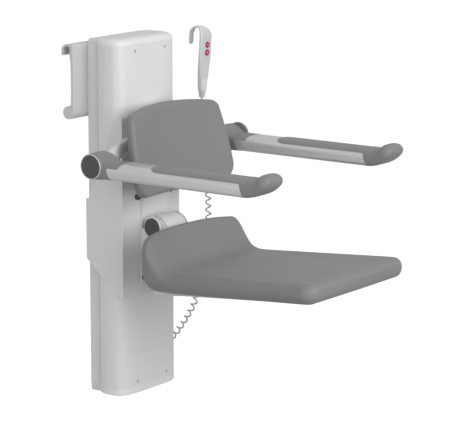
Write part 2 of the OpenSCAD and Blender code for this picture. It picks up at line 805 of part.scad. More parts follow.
// Drum on the hinge pin with a curved hood that leaves its top and runs down behind the seat,
// and two side plates that carry the pan and rest on the stops
module seat_bracket() {
    front = seat_rear_y - 1;
    hood_r = front - hinge_y;
    hood_c = [-hinge_y, hinge_z + drum_r - hood_r];
    hood = arc_at(hood_c, hood_r, 90, 180, 12);
    low = pan_low(front);
    outline = concat([[-hinge_y, hinge_z]], hood, [[-front, low], [-foot_len, pan_low(foot_len)],
        [-foot_len, pan_low(foot_len) - 12], [-front - 20, low - 34], [-heel_y, low - 18],
        [-heel_y, stop_z + 12], [-hinge_y + 0.7*drum_r, hinge_z - 0.7*drum_r]]);
    color("whitesmoke") hung() difference() {
        union() {
            bar_x(-drum_hw, -hinge_y, hinge_z, drum_r, 2*drum_hw);
            both_sides() side_plate(outline, drum_hw - plate_t, plate_t);
            side_plate(concat(hood, [[-front, low + 2], [-front + plate_t, low + 2]],
                arc_at(hood_c, hood_r - plate_t, 180, 90, 12)), -drum_hw, 2*drum_hw);
        }
        bar_x(-drum_hw - 1, -hinge_y, hinge_z, hinge_pin_r + bush_wall, 2*drum_hw + 2);
    }
}

module hinge_bushes() {
    w = 30;
    color("ivory") hung() both_sides() difference() {
        bar_x(drum_hw - w, -hinge_y, hinge_z, hinge_pin_r + bush_wall, w);
        bar_x(drum_hw - w - 1, -hinge_y, hinge_z, hinge_pin_r + run_gap, w + 2);
    }
}

// Armrests, drawn on the right and mirrored for the left

// Height of the profile's outline over its middle, at a sideways place
function arm_top(x) = arm_up*pow(max(0, 1 - pow(abs(x)/arm_hw, 3)), 1/3);

// Section of the profile, widths and heights scaled, in X and Z about its middle
function arm_section(n, kx, kz) = [for (f = loop(n)) let (c = cos(f), s = sin(f))
    s >= 0 ? [kx*arm_hw*spow(c, 2/3), kz*arm_up*pow(s, 2/3)]
        : [kx*arm_hw*spow(c, 2/5), -kz*arm_low*pow(-s, 2/5)]];

function arm_ring(y) = [for (p = arm_section(32, 1, 1))
    [arm_x + p[0], -y + cut_slope*p[1], arm_mid_z + p[1]]];

module cavity(grow, y0, y1) {
    translate([arm_x - cavity_hw - grow, -y1, arm_mid_z - cavity_h/2 - grow])
        cube([2*(cavity_hw + grow), y1 - y0, cavity_h + 2*grow]);
}

module arm_profile() {
    difference() {
        skin([arm_ring(cover_front_y + gap), arm_ring(profile_front_y)]);
        cavity(0, cover_front_y - 40, profile_front_y + 40);
    }
}

module right_arm_profile() {
    color("silver") hung() arm_profile();
}

module left_arm_profile() {
    color("silver") hung() mirror([1, 0, 0]) arm_profile();
}

module hub_barrel() {
    difference() {
        union() {
            bar_x(arm_x - arm_hw + 1, -arm_y, arm_z, barrel_r, 2*arm_hw - 6);
            cavity(-gap, arm_y, cover_front_y + 50);
        }
        bar_x(arm_x - arm_hw, -arm_y, arm_z, arm_pin_r + bush_wall, 2*arm_hw);
    }
}

module right_hub_barrel() {
    color("slategray") hung() hub_barrel();
}

module left_hub_barrel() {
    color("slategray") hung() mirror([1, 0, 0]) hub_barrel();
}

module hub_bushes() {
    w = 24;
    for (x = [arm_x - arm_hw + 1, arm_x + arm_hw - 5 - w]) difference() {
        bar_x(x, -arm_y, arm_z, arm_pin_r + bush_wall, w);
        bar_x(x - 1, -arm_y, arm_z, arm_pin_r + run_gap, w + 2);
    }
}

module right_hub_bushes() {
    color("ivory") hung() hub_bushes();
}

module left_hub_bushes() {
    color("ivory") hung() mirror([1, 0, 0]) hub_bushes();
}

// Upper and lower outline of the pivot cover by distance from its back
function hub_half(y) = sqrt(max(0, hub_r*hub_r - pow(y - arm_y, 2)));

module hub_cover() {
    m = 32;
    back = [for (a = [8:16:88]) arm_y - hub_r*cos(a)];
    neck = [0, 8, 16, 24, 32, 40];
    low0 = arm_z - hub_r;
    top0 = arm_z + hub_r;
    blend = cover_front_y - arm_y;
    function ring(y, zt, zb, slope) = let (zm = (zt + zb)/2, k = ease((y - arm_y)/blend),
        hw = arm_hw - 0.6*(1 - k)) [for (f = loop(m)) let (c = cos(f), s = sin(f),
            e = s >= 0 ? 2/(7 - 4*k) : 2/(7 - 2*k), z = zm + (s >= 0 ? zt - zm : zm - zb)*spow(s, e))
            [arm_x + hw*spow(c, e), -y + slope*k*cut_slope*(z - arm_mid_z), z]];
    front = [for (d = concat(neck, [blend])) let (k = ease(d/blend))
        ring(arm_y + d, top0 + (arm_mid_z + arm_up - top0)*k, low0 + (arm_mid_z - arm_low - low0)*k, 1)];
    rear = [for (y = back) ring(y, arm_z + hub_half(y), arm_z - hub_half(y), 0)];
    difference() {
        union() {
            skin(concat(rear, front));
            bar_x(arm_x + arm_hw - 8, -arm_y, arm_z, hub_r - 1.5, 8);
        }
        bar_x(arm_x - arm_hw - 1, -arm_y, arm_z, barrel_r + gap, 2*arm_hw - 3.4);
        cavity(0, arm_y, cover_front_y + 30);
    }
}

module right_hub_cover() {
    color("dimgray") hung() hub_cover();
}

module left_hub_cover() {
    color("dimgray") hung() mirror([1, 0, 0]) hub_cover();
}

module hub_disc() {
    translate([arm_x + arm_hw, -arm_y, arm_z]) rotate([0, 90, 0]) rotate_extrude()
        polygon([[0, 0], [ring_r, 0], [ring_r, 1.4], [disc_r + 0.6, 2], [disc_r, 1.4], [0, 1.7]]);
}

module right_hub_disc() {
    color("darkslategray") hung() hub_disc();
}

module left_hub_disc() {
    color("darkslategray") hung() mirror([1, 0, 0]) hub_disc();
}

// Thin pad that follows the profile's crown, round at its back end
module arm_pad() {
    m = 10;
    hw = arm_hw - 6;
    back = profile_front_y - arm_pad_len;
    function ring(y, k, slope) = let (place = function (i, up) let (a = 180*i/m, x = k*hw*cos(a),
        z = arm_top(x) + gap + up*arm_pad_t*sqrt(sin(a))) [arm_x + x, -y + slope*z, arm_mid_z + z])
        concat([for (i = [0:m]) place(i, 1)], [for (i = [m-1:-1:1]) place(i, 0)]);
    skin(concat([for (b = [12, 24, 40, 60, 90]) ring(back + hw*(1 - cos(b)), sin(b), 0)],
        [ring(profile_front_y - 60, 1, 0), ring(profile_front_y, 1, cut_slope)]));
}

module right_arm_pad() {
    color("gray") hung() arm_pad();
}

module left_arm_pad() {
    color("gray") hung() mirror([1, 0, 0]) arm_pad();
}

module arm_tip() {
    m = 32;
    bend_r = 84;
    straight = 10;
    tail = 2;
    nose = 18;
    bend_len = bend_r*tip_bend*PI/180;
    total = straight + bend_len + tail + nose;
    stops = concat([0, straight], [for (i = [1:8]) straight + bend_len*i/8],
        [for (i = [1:7]) straight + bend_len + tail + nose*sin(90*i/7.3)]);
    function turn(s) = tip_bend*min(1, max(0, (s - straight)/bend_len));
    function ahead(s) = s < straight ? s : let (a = turn(s), r = s - straight - bend_len)
        straight + bend_r*sin(a) + (r > 0 ? r*cos(a) : 0);
    function rise(s) = s < straight ? 0 : let (a = turn(s), r = s - straight - bend_len)
        bend_r*(1 - cos(a)) + (r > 0 ? r*sin(a) : 0);
    function shrink(s) = let (u = max(0, (s - total + nose)/nose)) sqrt(max(0, 1 - u*u));
    function ring(s) = let (a = turn(s), k = s/total, w = (1 - 0.14*k)*(0.35 + 0.65*shrink(s)),
        h = (1 - 0.16*k)*shrink(s), cut = cut_slope*max(0, 1 - s/straight),
        y = profile_front_y + gap + ahead(s), z = arm_mid_z + rise(s))
        [for (p = arm_section(m, w, h)) [arm_x + p[0], -y + p[1]*(sin(a) + cut), z + p[1]*cos(a)]];
    union() {
        skin([for (s = stops) ring(s)]);
        cavity(-gap, profile_front_y - 30, profile_front_y + 12);
    }
}

module right_arm_tip() {
    color("gray") hung() arm_tip();
}

module left_arm_tip() {
    color("gray") hung() mirror([1, 0, 0]) arm_tip();
}

// Hand control, drawn upright with its front in the plane y = 0 and its foot at z = 0, and then tilted

module handed() {
    translate([0, -web_back_y, -rail_z]) translate(hand_at) rotate([hand_tilt, 0, 0]) children();
}

// Radius of the hook's middle line
hand_arc_r = blade_t/2 + hand_hook_gap/2 - 1;

// Half width and half thickness of the grip by height
function hand_hw(z) = hand_w/2*(0.47 + 0.53*ease((z + 8)/(hand_len - 40)));
function hand_ht(z) = hand_t/2 + (blade_t/2 - hand_t/2)*ease((z - 20)/(hand_len - 50));

// Half width and half thickness at a turn of the hook, in degrees
function hook_hw(a) = strap_w/2 + (hand_w/2 - strap_w/2)*(1 - ease(a/110));
function hook_ht(a) = strap_t/2 + (blade_t/2 - strap_t/2)*(1 - ease(a/100));

// Ring across the hand control: place of its middle, turn, half width and half thickness
function hand_ring(y, z, a, hw, ht) = [for (f = loop(28))
    let (u = hw*spow(cos(f), 2/3), v = ht*spow(sin(f), 2/3)) [u, y + v*cos(a), z - v*sin(a)]];

module hand_pockets(r) {
    for (z = button_z) translate([0, -4, z]) rotate([-90, 0, 0]) cylinder(h = pocket_d + 4, r = r);
}

module hand_shell() {
    mid = blade_t/2;
    top = hand_len;
    foot = [for (v = [[0, 0.8], [2, 0.93], [6, 1]]) let (z = v[0], k = v[1])
        hand_ring(hand_ht(z), z, 0, k*hand_hw(z), k*hand_ht(z))];
    body = [for (k = [1:8]) let (z = 6 + (top - 6)*k/8) hand_ring(hand_ht(z), z, 0, hand_hw(z), hand_ht(z))];
    hook = [for (k = [1:10]) let (a = 18*k)
        hand_ring(mid + hand_arc_r*(1 - cos(a)), top + hand_arc_r*sin(a), a, hook_hw(a), hook_ht(a))];
    drop = [for (v = [[strap_drop - 5, 1], [strap_drop - 1.5, 0.8], [strap_drop, 0.45]])
        hand_ring(mid + 2*hand_arc_r, top - v[0], 180, v[1]*strap_w/2, v[1]*strap_t/2)];
    color("white") handed() difference() {
        skin(concat(foot, body, hook, drop));
        hand_pockets(button_r + gap);
    }
}

module hand_panel() {
    n = 10;
    rim = [for (i = [0:n]) let (z = panel_low + (hand_len - panel_low)*i/n)
        [hand_hw(z) - 5 - 2.5*pow(2*i/n - 1, 8), z]];
    color("lightsteelblue") handed() difference() {
        translate([0, -gap/2, 0]) rotate([90, 0, 0]) linear_extrude(panel_t)
            polygon(concat(rim, [for (i = [n:-1:0]) [-rim[i][0], rim[i][1]]]));
        hand_pockets(button_r + gap);
    }
}

module hand_button(z) {
    face = gap/2 + panel_t + button_top;
    stem = face + pocket_d - button_travel - gap;
    handed() translate([0, -face, z]) rotate([-90, 0, 0]) rotate_extrude()
        polygon([[0, 0.4], [button_r*0.5, 0.1], [button_r - 1, 0.3], [button_r, 1.2],
            [button_r, stem], [0, stem]]);
}

module button_up() {
    color("firebrick") hand_button(button_z[0]);
}

module button_down() {
    color("firebrick") hand_button(button_z[1]);
}

module strain_relief() {
    ribs = 4;
    pitch = (relief_len - 4)/ribs;
    side = [for (i = [0:ribs-1]) let (r = relief_r - 3*i/ribs, z = 4 + i*pitch)
        each [[r, z], [r - 0.4, z + pitch*0.55], [r - 1.6, z + pitch*0.6], [r - 1.6, z + pitch*0.98]]];
    color("gainsboro") handed() translate([0, hand_t/2, 0]) mirror([0, 0, 1]) rotate_extrude()
        polygon(concat([[0, 0], [relief_r, 0], [relief_r, 4]], side,
            [[relief_r - 5, relief_len], [0, relief_len]]));
}

// Curly cord

// Smooth curve through the route's points, at u from 0 to the last point's number
function route_at(u) = let (last = len(route) - 1, i = min(last - 1, max(0, floor(u))), t = u - i,
    a = route[max(0, i-1)], b = route[i], c = route[i+1], d = route[min(last, i+2)])
    0.5*((2*b) + (c - a)*t + (2*a - 5*b + 4*c - d)*t*t + (3*b - a - 3*c + d)*t*t*t);

cord_parts = 240;
cord_mids = [for (i = [0:cord_parts]) route_at((len(route) - 1)*i/cord_parts)];
cord_steps = [for (i = [0:cord_parts-1]) norm(cord_mids[i+1] - cord_mids[i])];
function running(v) = [for (i = 0, s = 0; i <= len(v); s = i < len(v) ? s + v[i] : s, i = i + 1) s];
cord_runs = running(cord_steps);
route_len = cord_runs[cord_parts];

// Place on the route at a share of its length
function route_share(w) = let (s = w*route_len, i = search_run(s, 0, cord_parts))
    cord_mids[i] + (cord_mids[i+1] - cord_mids[i])*(s - cord_runs[i])/cord_steps[i];
function search_run(s, a, b) = b - a <= 1 ? a
    : let (m = floor((a + b)/2)) cord_runs[m] <= s ? search_run(s, m, b) : search_run(s, a, m);

lead = 14/route_len;
ramp = 26/route_len;

function unit(v) = v/norm(v);
function curl_reach(w) = curl_d/2*ease((w - lead)/ramp)*ease((1 - w - lead)/ramp);
function curl_turn(w) = 360*curls*min(1, max(0, (w - lead)/(1 - 2*lead)));
function curl_point(w) = let (t = unit(route_share(min(1, w + 0.004)) - route_share(max(0, w - 0.004))),
    n = unit(cross(t, [0, 1, 0])), b = cross(n, t), a = curl_turn(w), r = curl_reach(w))
    route_share(w) + r*(cos(a)*n + sin(a)*b);

cord_rings = curls*8;
curl_points = concat([for (w = [0, lead/2]) route_share(w)],
    [for (i = [0:cord_rings]) curl_point(lead + (1 - 2*lead)*i/cord_rings)],
    [for (w = [1 - lead/2, 1]) route_share(w)]);

function cord_ring(i) = let (n = len(curl_points) - 1, t = i == 0 ? unit(curl_points[1] - curl_points[0])
        : i == n ? unit(curl_points[n] - curl_points[n-1]) : unit(curl_points[i+1] - curl_points[i-1]),
    u = unit(cross([0, 1, 0], t)), v = cross(t, u))
    [for (f = loop(6)) curl_points[i] + cord_d/2*(cos(f)*u + sin(f)*v)];

// Least gap of the cord to itself, measured between ring middles that lie at least half a curl apart
curl_gap = min([for (i = [0:len(curl_points)-1]) for (j = [i+5:1:min(i+14, len(curl_points)-1)])
    norm(curl_points[i] - curl_points[j])]) - cord_d;
echo(least_gap_of_the_cord_to_itself = curl_gap);
cord_length = sum([for (i = [0:len(curl_points)-2]) norm(curl_points[i+1] - curl_points[i])]);
function sum(v) = v*[for (x = v) 1];
echo(cord_length = cord_length, route_length = route_len);

module curly_cord() {
    color("silver") hung() skin([for (i = [0:len(curl_points)-1]) cord_ring(i)]);
}

back_housing();
front_cover();
top_cap();
bottom_cap();
cover_screws();
top_bulkhead();
bottom_bulkhead();
guide_rods();
actuator_body();
control_box();
rail_hanger();
hanger_bolts();
cord_gland();
carriage_frame();
slide_bushes();
actuator_piston();
piston_nut();
carriage_cover();
spine_bracket();
left_arm_horn();
right_arm_horn();
left_arm_pin();
right_arm_pin();
hinge_pin();
hinge_caps();
seat_stop();
backrest_mount();
backrest_pad();
seat_bracket();
hinge_bushes();
seat_pan();
pan_screws();
seat_pad();
left_hub_barrel();
right_hub_barrel();
left_hub_bushes();
right_hub_bushes();
left_hub_cover();
right_hub_cover();
left_hub_disc();
right_hub_disc();
left_arm_profile();
right_arm_profile();
left_arm_pad();
right_arm_pad();
left_arm_tip();
right_arm_tip();
hand_shell();
hand_panel();
button_up();
button_down();
strain_relief();
curly_cord();
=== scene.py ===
"""Dressed model and studio for a wall-hung shower seat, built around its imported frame."""

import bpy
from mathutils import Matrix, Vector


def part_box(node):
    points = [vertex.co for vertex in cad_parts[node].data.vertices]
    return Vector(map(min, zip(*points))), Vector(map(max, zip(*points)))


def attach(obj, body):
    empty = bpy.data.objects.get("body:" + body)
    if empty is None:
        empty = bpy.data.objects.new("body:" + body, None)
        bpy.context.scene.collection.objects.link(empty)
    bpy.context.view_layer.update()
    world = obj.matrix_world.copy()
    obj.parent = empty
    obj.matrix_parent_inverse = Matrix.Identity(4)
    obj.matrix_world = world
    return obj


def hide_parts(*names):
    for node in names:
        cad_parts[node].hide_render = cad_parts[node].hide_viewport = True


bl_info = {
    "name": "Wall-Hung Shower Seat",
    "version": (1, 0, 0),
    "blender": (4, 5, 0),
    "location": "View3D > Sidebar > Shower Seat",
    "description": "Adds the enamelled, moulded and upholstered surfaces of a powered shower seat",
    "category": "Object",
}

import math

import bmesh
import bpy
import numpy as np
from bpy.props import FloatProperty, FloatVectorProperty, PointerProperty
from mathutils import Vector

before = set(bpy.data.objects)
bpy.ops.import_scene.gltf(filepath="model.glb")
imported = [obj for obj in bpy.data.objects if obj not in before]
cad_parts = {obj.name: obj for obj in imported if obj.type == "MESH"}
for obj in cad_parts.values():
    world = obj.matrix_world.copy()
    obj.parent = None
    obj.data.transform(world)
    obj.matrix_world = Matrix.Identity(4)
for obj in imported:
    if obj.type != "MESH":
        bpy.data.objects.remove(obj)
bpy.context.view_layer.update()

# Sizes are in millimetres from the column's front plane and foot, X to the right of someone who
# faces the seat, Y back to the wall and Z up. placed() turns them into metres in the part's frame.
MM = 0.001
COLUMN_BACK = 122.0
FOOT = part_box("bottom_cap")[0].z
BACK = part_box("back_housing")[1].y

SIDES = ((-1, "left"), (1, "right"))

# Column. A profile, here and below, is a list of radius and distance along its axis.
COLUMN_H = (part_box("top_cap")[1].z - FOOT) / MM
COVER_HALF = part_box("front_cover")[1].x / MM
COVER_POWER = 4.6
COVER_DEPTH = 62.0
COVER_Y = 58.0
COVER_WALL = 2.5
COVER_STEPS = 96
CAP_H = 18.0
CAP_ROUND = 16.0
CAP_REACH = 24.0
CAP_BACK_REACH = 5.0
CAP_FALL = 5.5
CAP_SHARES = (0.85, 0.7, 0.55, 0.4, 0.25, 0.1, 0.02)
FOOT_ROUND = 3.0
LIP = (COVER_HALF - 8.0, COVER_Y + 22.0)
HOUSE_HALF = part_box("back_housing")[1].x / MM
HOUSE_Y = 88.0
HOUSE_WALL = 3.0
SCREW_X = 63.6
SCREW_END = 34.0
SCREW_HEAD = [(0, -12), (2.5, -12), (2.5, 0.3), (3.5, 0.3), (3.5, 1.0), (3.2, 1.5), (2.6, 1.8), (1.7, 1.9),
              (1.6, 1.2), (0, 0.9)]

# Rail hanger
HANG_WEB = 10.4
HANG_DEPTH = 37.4
HANG_HOOK_T = 6.0
HANG_HOOK_R = 17.0
HANG_HOOK_DROP = 30.0
HANG_CORNER = 8.0
HANG_BEAD = 17.5
HANG_HOLLOW = 3.4
HANG_HOLLOW_HALF = 30.0
HANG_HOLLOW_RUN = 36.0

# Carriage cover and spine
SHELL_TOP = 760.0
SHELL_LOW = 272.0
SHELL_FRONT_HALF = 124.5
SHELL_BACK_HALF = 135.5
SHELL_BACK_Y = 110.0
SHELL_BACK_LOW = 372.0
SHELL_BACK_TOP = 535.0
SHELL_LEVEL = 8.0
SHELL_EDGE_Y = 4.4
SHELL_Y = 9.5
SHELL_T = 3.0
KNEE_Y = 8.0
KNEE_R = 9.0
SPINE_HALF = 54.0
SPINE_Y = 32.5
SPINE_TOP = 792.0
SPINE_FOOT = 297.0
SPINE_THIN = 4.0
SPINE_SLOPE = 20.7
CURVE_Z = 478.0
CURVE_H = 88.0
HINGE_Y = 50.0
HINGE_Z = 460.0
EYE_R = 29.0
CHEEK_T = 5.0
CHEEK_LOW = 338.0
DRUM_R = 30.0
DRUM_HALF = 48.5
HINGE_DISC_R = 25.8
HINGE_RING = 1.5
HORN_Z = SPINE_TOP - 91.0
HORN_BACK = 13.5
HORN_FRONT = 31.5
HORN_HALF = 15.5
HORN_GROWTH = 7.5
HORN_FLARE = 19.0

# Seat and backrest
SEAT_BACK_HALF = 214.0
SEAT_FRONT_HALF = 224.0
SEAT_LEN = 583.0
SEAT_T = 52.0
SEAT_RISE = 0.072
SEAT_REAR = 97.0
SEAT_FOOT_Z = 320.0
SEAT_BEND = 75.0
SEAT_ROUND = 34.0
SEAT_CORNER = 40.0
SEAT_REAR_CORNER = 46.0
SEAT_REAR_ROUND = 16.0
SEAT_CROWN = 4.0
SEAT_REAR_BOW = 18.0
SEAT_FRONT_BOW = 3.0
PAN_DROP = 5.3
PAN_HALF = 150.0
PAN_ENDS = (130.0, 600.0)
PLATE_T = 8.0
PLATE_HEEL = 23.8
PLATE_HEEL_LOW = 18.0
PLATE_HEEL_TOP = 334.0
PLATE_NOSE = 12.0
PLATE_DEEP = 34.0
PLATE_FRONT = 420.0
LIP_H = 96.0
LIP_FLAT = 33.0
LIP_SLOPE = 118.0
LIP_ARCH = 12.0
LIP_HOLLOW = 1.25
LIP_POWER = 3.6
BACK_HALF = 212.0
BACK_TOP_HALF = 189.0
BACK_H = 211.0
BACK_T = 30.0
BACK_CURVE = 37.0
BACK_LEAN = 0.19
BACK_Z = 672.0
BACK_CROWN = 14.0
BACK_SINK = 5.0
BACK_CORNER = 15.0
BACK_LOW_CORNER = 46.0
BACK_ROUND = 14.0
BACK_TOP_Y = 50.0
STUD_X = 68.0
STUD_Z = 541.0
STUD_R = 8.0
STUD_DOME = [(0, -4), (STUD_R - 1, -4), (STUD_R, -3), (STUD_R, 6), (STUD_R - 0.8, 8.4), (STUD_R - 2.6, 10.2),
             (STUD_R - 5, 11), (0, 11.6)]

# Armrests
ARM_X = 278.0
ARM_HALF = 46.0
ARM_Z = 664.5
ARM_Y = 62.0
ARM_FRONT = 532.0
ARM_UP = 24.0
ARM_LOW = 18.0
ARM_MID = ARM_Z - 12.5
PIN_X = ARM_X - ARM_HALF - 8.3
PIN_R = 10.0
PIN_LEN = 94.0
HUB_R = 35.0
CUT_SLOPE = 0.39
COVER_AHEAD = 50.0
LOBE_AHEAD = 85.0
LOBE_Z = 13.0
COVER_SWEEP = 15.0
HUB_PROUD = 0.7
SADDLE_START = -16.0
SADDLE_LEN = 56.0
POCKET_AHEAD = 26.0
PAD_T = 3.0
PAD_LEN = 296.0
DISC_R = 30.5
RING_R = 32.6
PLUG = [(0, 0), (33.5, 0), (33.5, 7.6), (33.1, 8), (0, 8)]
TIP_BEND = math.radians(42.0)
TIP_R = 70.0
TIP_STRAIGHT = 5.7
TIP_TAIL = 2.3
TIP_NOSE = 24.5
TIP_BLUNT = 0.42
TIP_SOFT = 0.3
TIP_NARROW = 0.104
TIP_THIN = (0.05, 0.105)

# Hand control
HAND_W = 50.0
HAND_T = 22.0
HAND_LEN = 155.0
HAND_WAIST = 0.47
BLADE_T = 13.0
STRAP_W = 20.0
STRAP_T = 5.0
HOOK_R = 25.0
PANEL_TURN = math.radians(38.0)
STRAP_DROP = 28.0
WAIST_TURN = 110.0
HAND_TILT = math.radians(3.0)
BUTTON_Z = {"up": 132.0, "down": 110.0}
BUTTON_R = 9.0
BUTTON_FACE = 3.15
BUTTON_CAP = [(0, 0.35), (BUTTON_R * 0.5, 0.25), (BUTTON_R * 0.75, 0.12), (BUTTON_R - 1.2, 0.2),
              (BUTTON_R - 0.5, 0.55), (BUTTON_R - 0.1, 1.1), (BUTTON_R, 1.7), (BUTTON_R, 6.6), (0, 6.6)]
ARROW = [(-0.8, -3), (0.8, -3), (0.8, -0.2), (2.8, -0.2), (0, 3.2), (-2.8, -0.2), (-0.8, -0.2)]
PANEL_LOW = 34.0
PANEL_MARGIN = 4.4
RELIEF_LEN = 20.0
RELIEF_R = 10.0
RELIEF_RIBS = 3
CORD_START = (410.0, 130.0, 740.0)
HAND_AT = (410.0, 130.0 - HAND_T / 2 * math.cos(HAND_TILT) - RELIEF_LEN * math.sin(HAND_TILT),
           740.0 - HAND_T / 2 * math.sin(HAND_TILT) + RELIEF_LEN * math.cos(HAND_TILT))

# Curly cord: the same route as in the part's source
CORD_D = 4.8
CURL_D = 14.0
CURLS = 38
CORD_LEAD = 14.0
CORD_RAMP = 26.0
GLAND = (108.0, 106.0, 45.0)
GLAND_LEN = 14.0
ROUTE = [CORD_START, (410, 131, 720), (411, 123, 640), (409, 113, 545), (408, 107, 450), (406, 105, 390),
         (397, 105, 320), (377, 105, 240), (347, 105, 172), (306, 105, 128), (262, 105, 96), (222, 105, 74),
         (184, 105, 56), (150, 106, 47), (134, 106, 45), (122, 106, 45)]

# Camera, solved from the photograph's edges
CAMERA_AT = (-5056.8, -3937.8, 1743.2)
CAMERA_TURN = 54.019
CAMERA_DIP = 11.059
SENSOR = 36.0

# Studio: the floor's half width, the sky's strength by height, and soft boxes in metres
FLOOR_HALF = 40.0
FLOOR_GLOW = 0.52
SKY = (("From Min", -0.6), ("From Max", 0.3), ("To Min", 0.41), ("To Max", 0.56))
LIGHT_AIM = (0.0, -0.15, -0.4)
LIGHTS = (("key", (-0.8, -4.2, 1.0), 3.0, 98.0), ("left", (-4.2, -0.6, 0.4), 3.0, 27.0),
          ("top", (0.2, -0.9, 3.4), 2.6, 7.0))


def placed(spots):
    """Points in millimetres from the column's front and foot, as metres in the part's frame."""
    return np.asarray(spots, float) * MM + (0.0, BACK - COLUMN_BACK * MM, FOOT)


# Forms


def ease(t):
    """Half a cosine wave that goes from 0 to 1 while t does, and stays level outside."""
    return (1 - np.cos(np.pi * np.clip(t, 0, 1))) / 2


def spow(v, e):
    """A power that keeps the sign, which turns circles into squarer or rounder ovals."""
    return np.sign(v) * np.abs(v) ** e


def draw_in(d, r):
    """How far an edge of radius r draws in at a distance d from its end: a quarter circle."""
    d = np.asarray(d, float)
    return np.where(d < r, r - np.sqrt(np.maximum(0, r * r - (r - d) ** 2)), 0.0)


def unit(v):
    """Vectors scaled to a length of one."""
    return v / np.linalg.norm(v, axis=-1, keepdims=True)


def around(sides):
    """Angles of one full turn, as a row."""
    return np.linspace(0, 2 * np.pi, sides, endpoint=False)[None]


def arc(y, z, r, start, end, steps):
    """Points on a circle about (y, z), from one angle in degrees to another."""
    a = np.radians(np.linspace(start, end, steps + 1))
    return np.stack([y + r * np.cos(a), z + r * np.sin(a)], -1)


def points(x, y, z):
    """Grid of points from three arrays that share a shape or stretch to one."""
    return np.stack(np.broadcast_arrays(x, y, z), -1).astype(float)


def skin(rings, first="flat", last="flat"):
    """Closed surface through rings of equal length, kept as points, corner numbers and face sizes:
    two neighbours on a ring and the same two on the next one are the corners of a face. Each end is
    closed by a flat face or, where it is called a point, by a fan to the ring's middle."""
    m, n = rings.shape[:2]
    k, i = np.arange(m - 1)[:, None], np.arange(n)[None, :]
    a, b = k * n + i, k * n + (i + 1) % n
    verts = [rings.reshape(-1, 3)]
    corners = [np.stack([a, b, b + n, a + n], -1).ravel()]
    sizes = [np.full((m - 1) * n, 4)]
    middle = m * n
    forwards = np.arange(n)
    for kind, row, order in ((first, 0, forwards[::-1]), (last, m - 1, forwards)):
        ring = row * n + order
        if kind == "flat":
            corners.append(ring)
            sizes.append(np.array([n]))
        else:
            verts.append(rings[row].mean(0)[None])
            corners.append(np.stack([ring, np.roll(ring, -1), np.full(n, middle)], -1).ravel())
            sizes.append(np.full(n, 3))
            middle += 1
    return np.concatenate(verts), np.concatenate(corners), np.concatenate(sizes)


def plate(outline, x0, x1):
    """A side outline in Y and Z carried straight along X."""
    y, z = np.asarray(outline, float).T
    return skin(points(np.array([x0, x1])[:, None], y, z))


def upright(outline, z0, z1):
    """A plan in X and Y carried straight up."""
    x, y = np.asarray(outline, float).T
    return skin(points(x, y, np.array([z0, z1])[:, None]))


def turned(profile, at, axis, sides):
    """Rings of a profile turned about an axis: the point on the axis at the profile's distance, plus
    its radius times the angle's cosine and sine along two directions square to the axis."""
    r, h = np.asarray(profile, float).T[:, :, None, None]
    f = around(sides).T
    along = unit(np.asarray(axis, float))
    side = unit(np.cross(along, (0, 0, 1) if abs(along[2]) < 0.9 else (0, 1, 0)))
    other = np.cross(along, side)
    return np.asarray(at, float) + h * along + r * (np.cos(f) * side + np.sin(f) * other)


def lathe(profile, at, axis, sides=96):
    """A turned solid whose profile starts and ends on its axis, where a fan closes it."""
    rings = turned(profile, at, axis, sides)
    verts, corners, sizes = skin(rings[1:-1], "point", "point")
    verts[-2:] = rings[[0, -1], 0]
    return verts, corners, sizes


def hoop(profile, at, axis, sides=96):
    """A turned ring: its profile is closed, so the last circle joins the first one."""
    rings = turned(profile, at, axis, sides)
    m, n = rings.shape[:2]
    k, i = np.arange(m)[:, None], np.arange(n)[None, :]
    here, after, turn = k * n, (k + 1) % m * n, (i + 1) % n
    corners = np.stack([here + i, here + turn, after + turn, after + i], -1)
    return rings.reshape(-1, 3), corners.ravel(), np.full(m * n, 4)


def tube(path, radius, reference, sides=12):
    """A round tube along a path of points. At each point stands a circle square to the path: the
    radius times the angle's cosine along the reference, made square to the path, plus its sine along
    the direction square to both."""
    t = unit(np.gradient(path, axis=0))
    u = unit(reference - (reference * t).sum(-1, keepdims=True) * t)
    v = np.cross(t, u)
    f = around(sides)[..., None]
    return skin(path[:, None] + radius * (np.cos(f) * u[:, None] + np.sin(f) * v[:, None]))


def mirrored(shell, side):
    """The same surface on the other side of the middle plane where side is -1."""
    verts, corners, sizes = shell
    return verts * (side, 1, 1), corners, sizes


def piece(name, shells, material, body, stands_for=(), bevel=0.0, sharp=38.0, corner=38.0):
    """Puts surfaces into one mesh that rides on a body, with outward faces and smooth shading
    between its sharp edges, or with rounded edges where a bevel is given in millimetres."""
    starts = np.cumsum([0] + [len(s[0]) for s in shells])
    verts = placed(np.concatenate([s[0] for s in shells]))
    corners = np.concatenate([s[1] + k for s, k in zip(shells, starts)])
    sizes = np.concatenate([s[2] for s in shells])
    mesh = bpy.data.meshes.new(name)
    mesh.vertices.add(len(verts))
    mesh.vertices.foreach_set("co", verts.ravel())
    mesh.loops.add(len(corners))
    mesh.loops.foreach_set("vertex_index", corners)
    mesh.polygons.add(len(sizes))
    mesh.polygons.foreach_set("loop_start", np.cumsum(sizes) - sizes)
    mesh.update(calc_edges=True)
    outward(mesh)
    mesh.shade_smooth()
    mesh.materials.append(material)
    made = bpy.data.objects.new(name, mesh)
    bpy.context.scene.collection.objects.link(made)
    if bevel:
        rounding = made.modifiers.new("edges", "BEVEL")
        rounding.width = bevel * MM * bpy.context.scene.shower_seat_sizes.edge
        rounding.segments = 3
        rounding.limit_method = "ANGLE"
        rounding.angle_limit = math.radians(corner)
        rounding.harden_normals = True
    else:
        mesh.set_sharp_from_angle(angle=math.radians(sharp))
    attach(made, body)
    if stands_for:
        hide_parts(*stands_for)
    return made


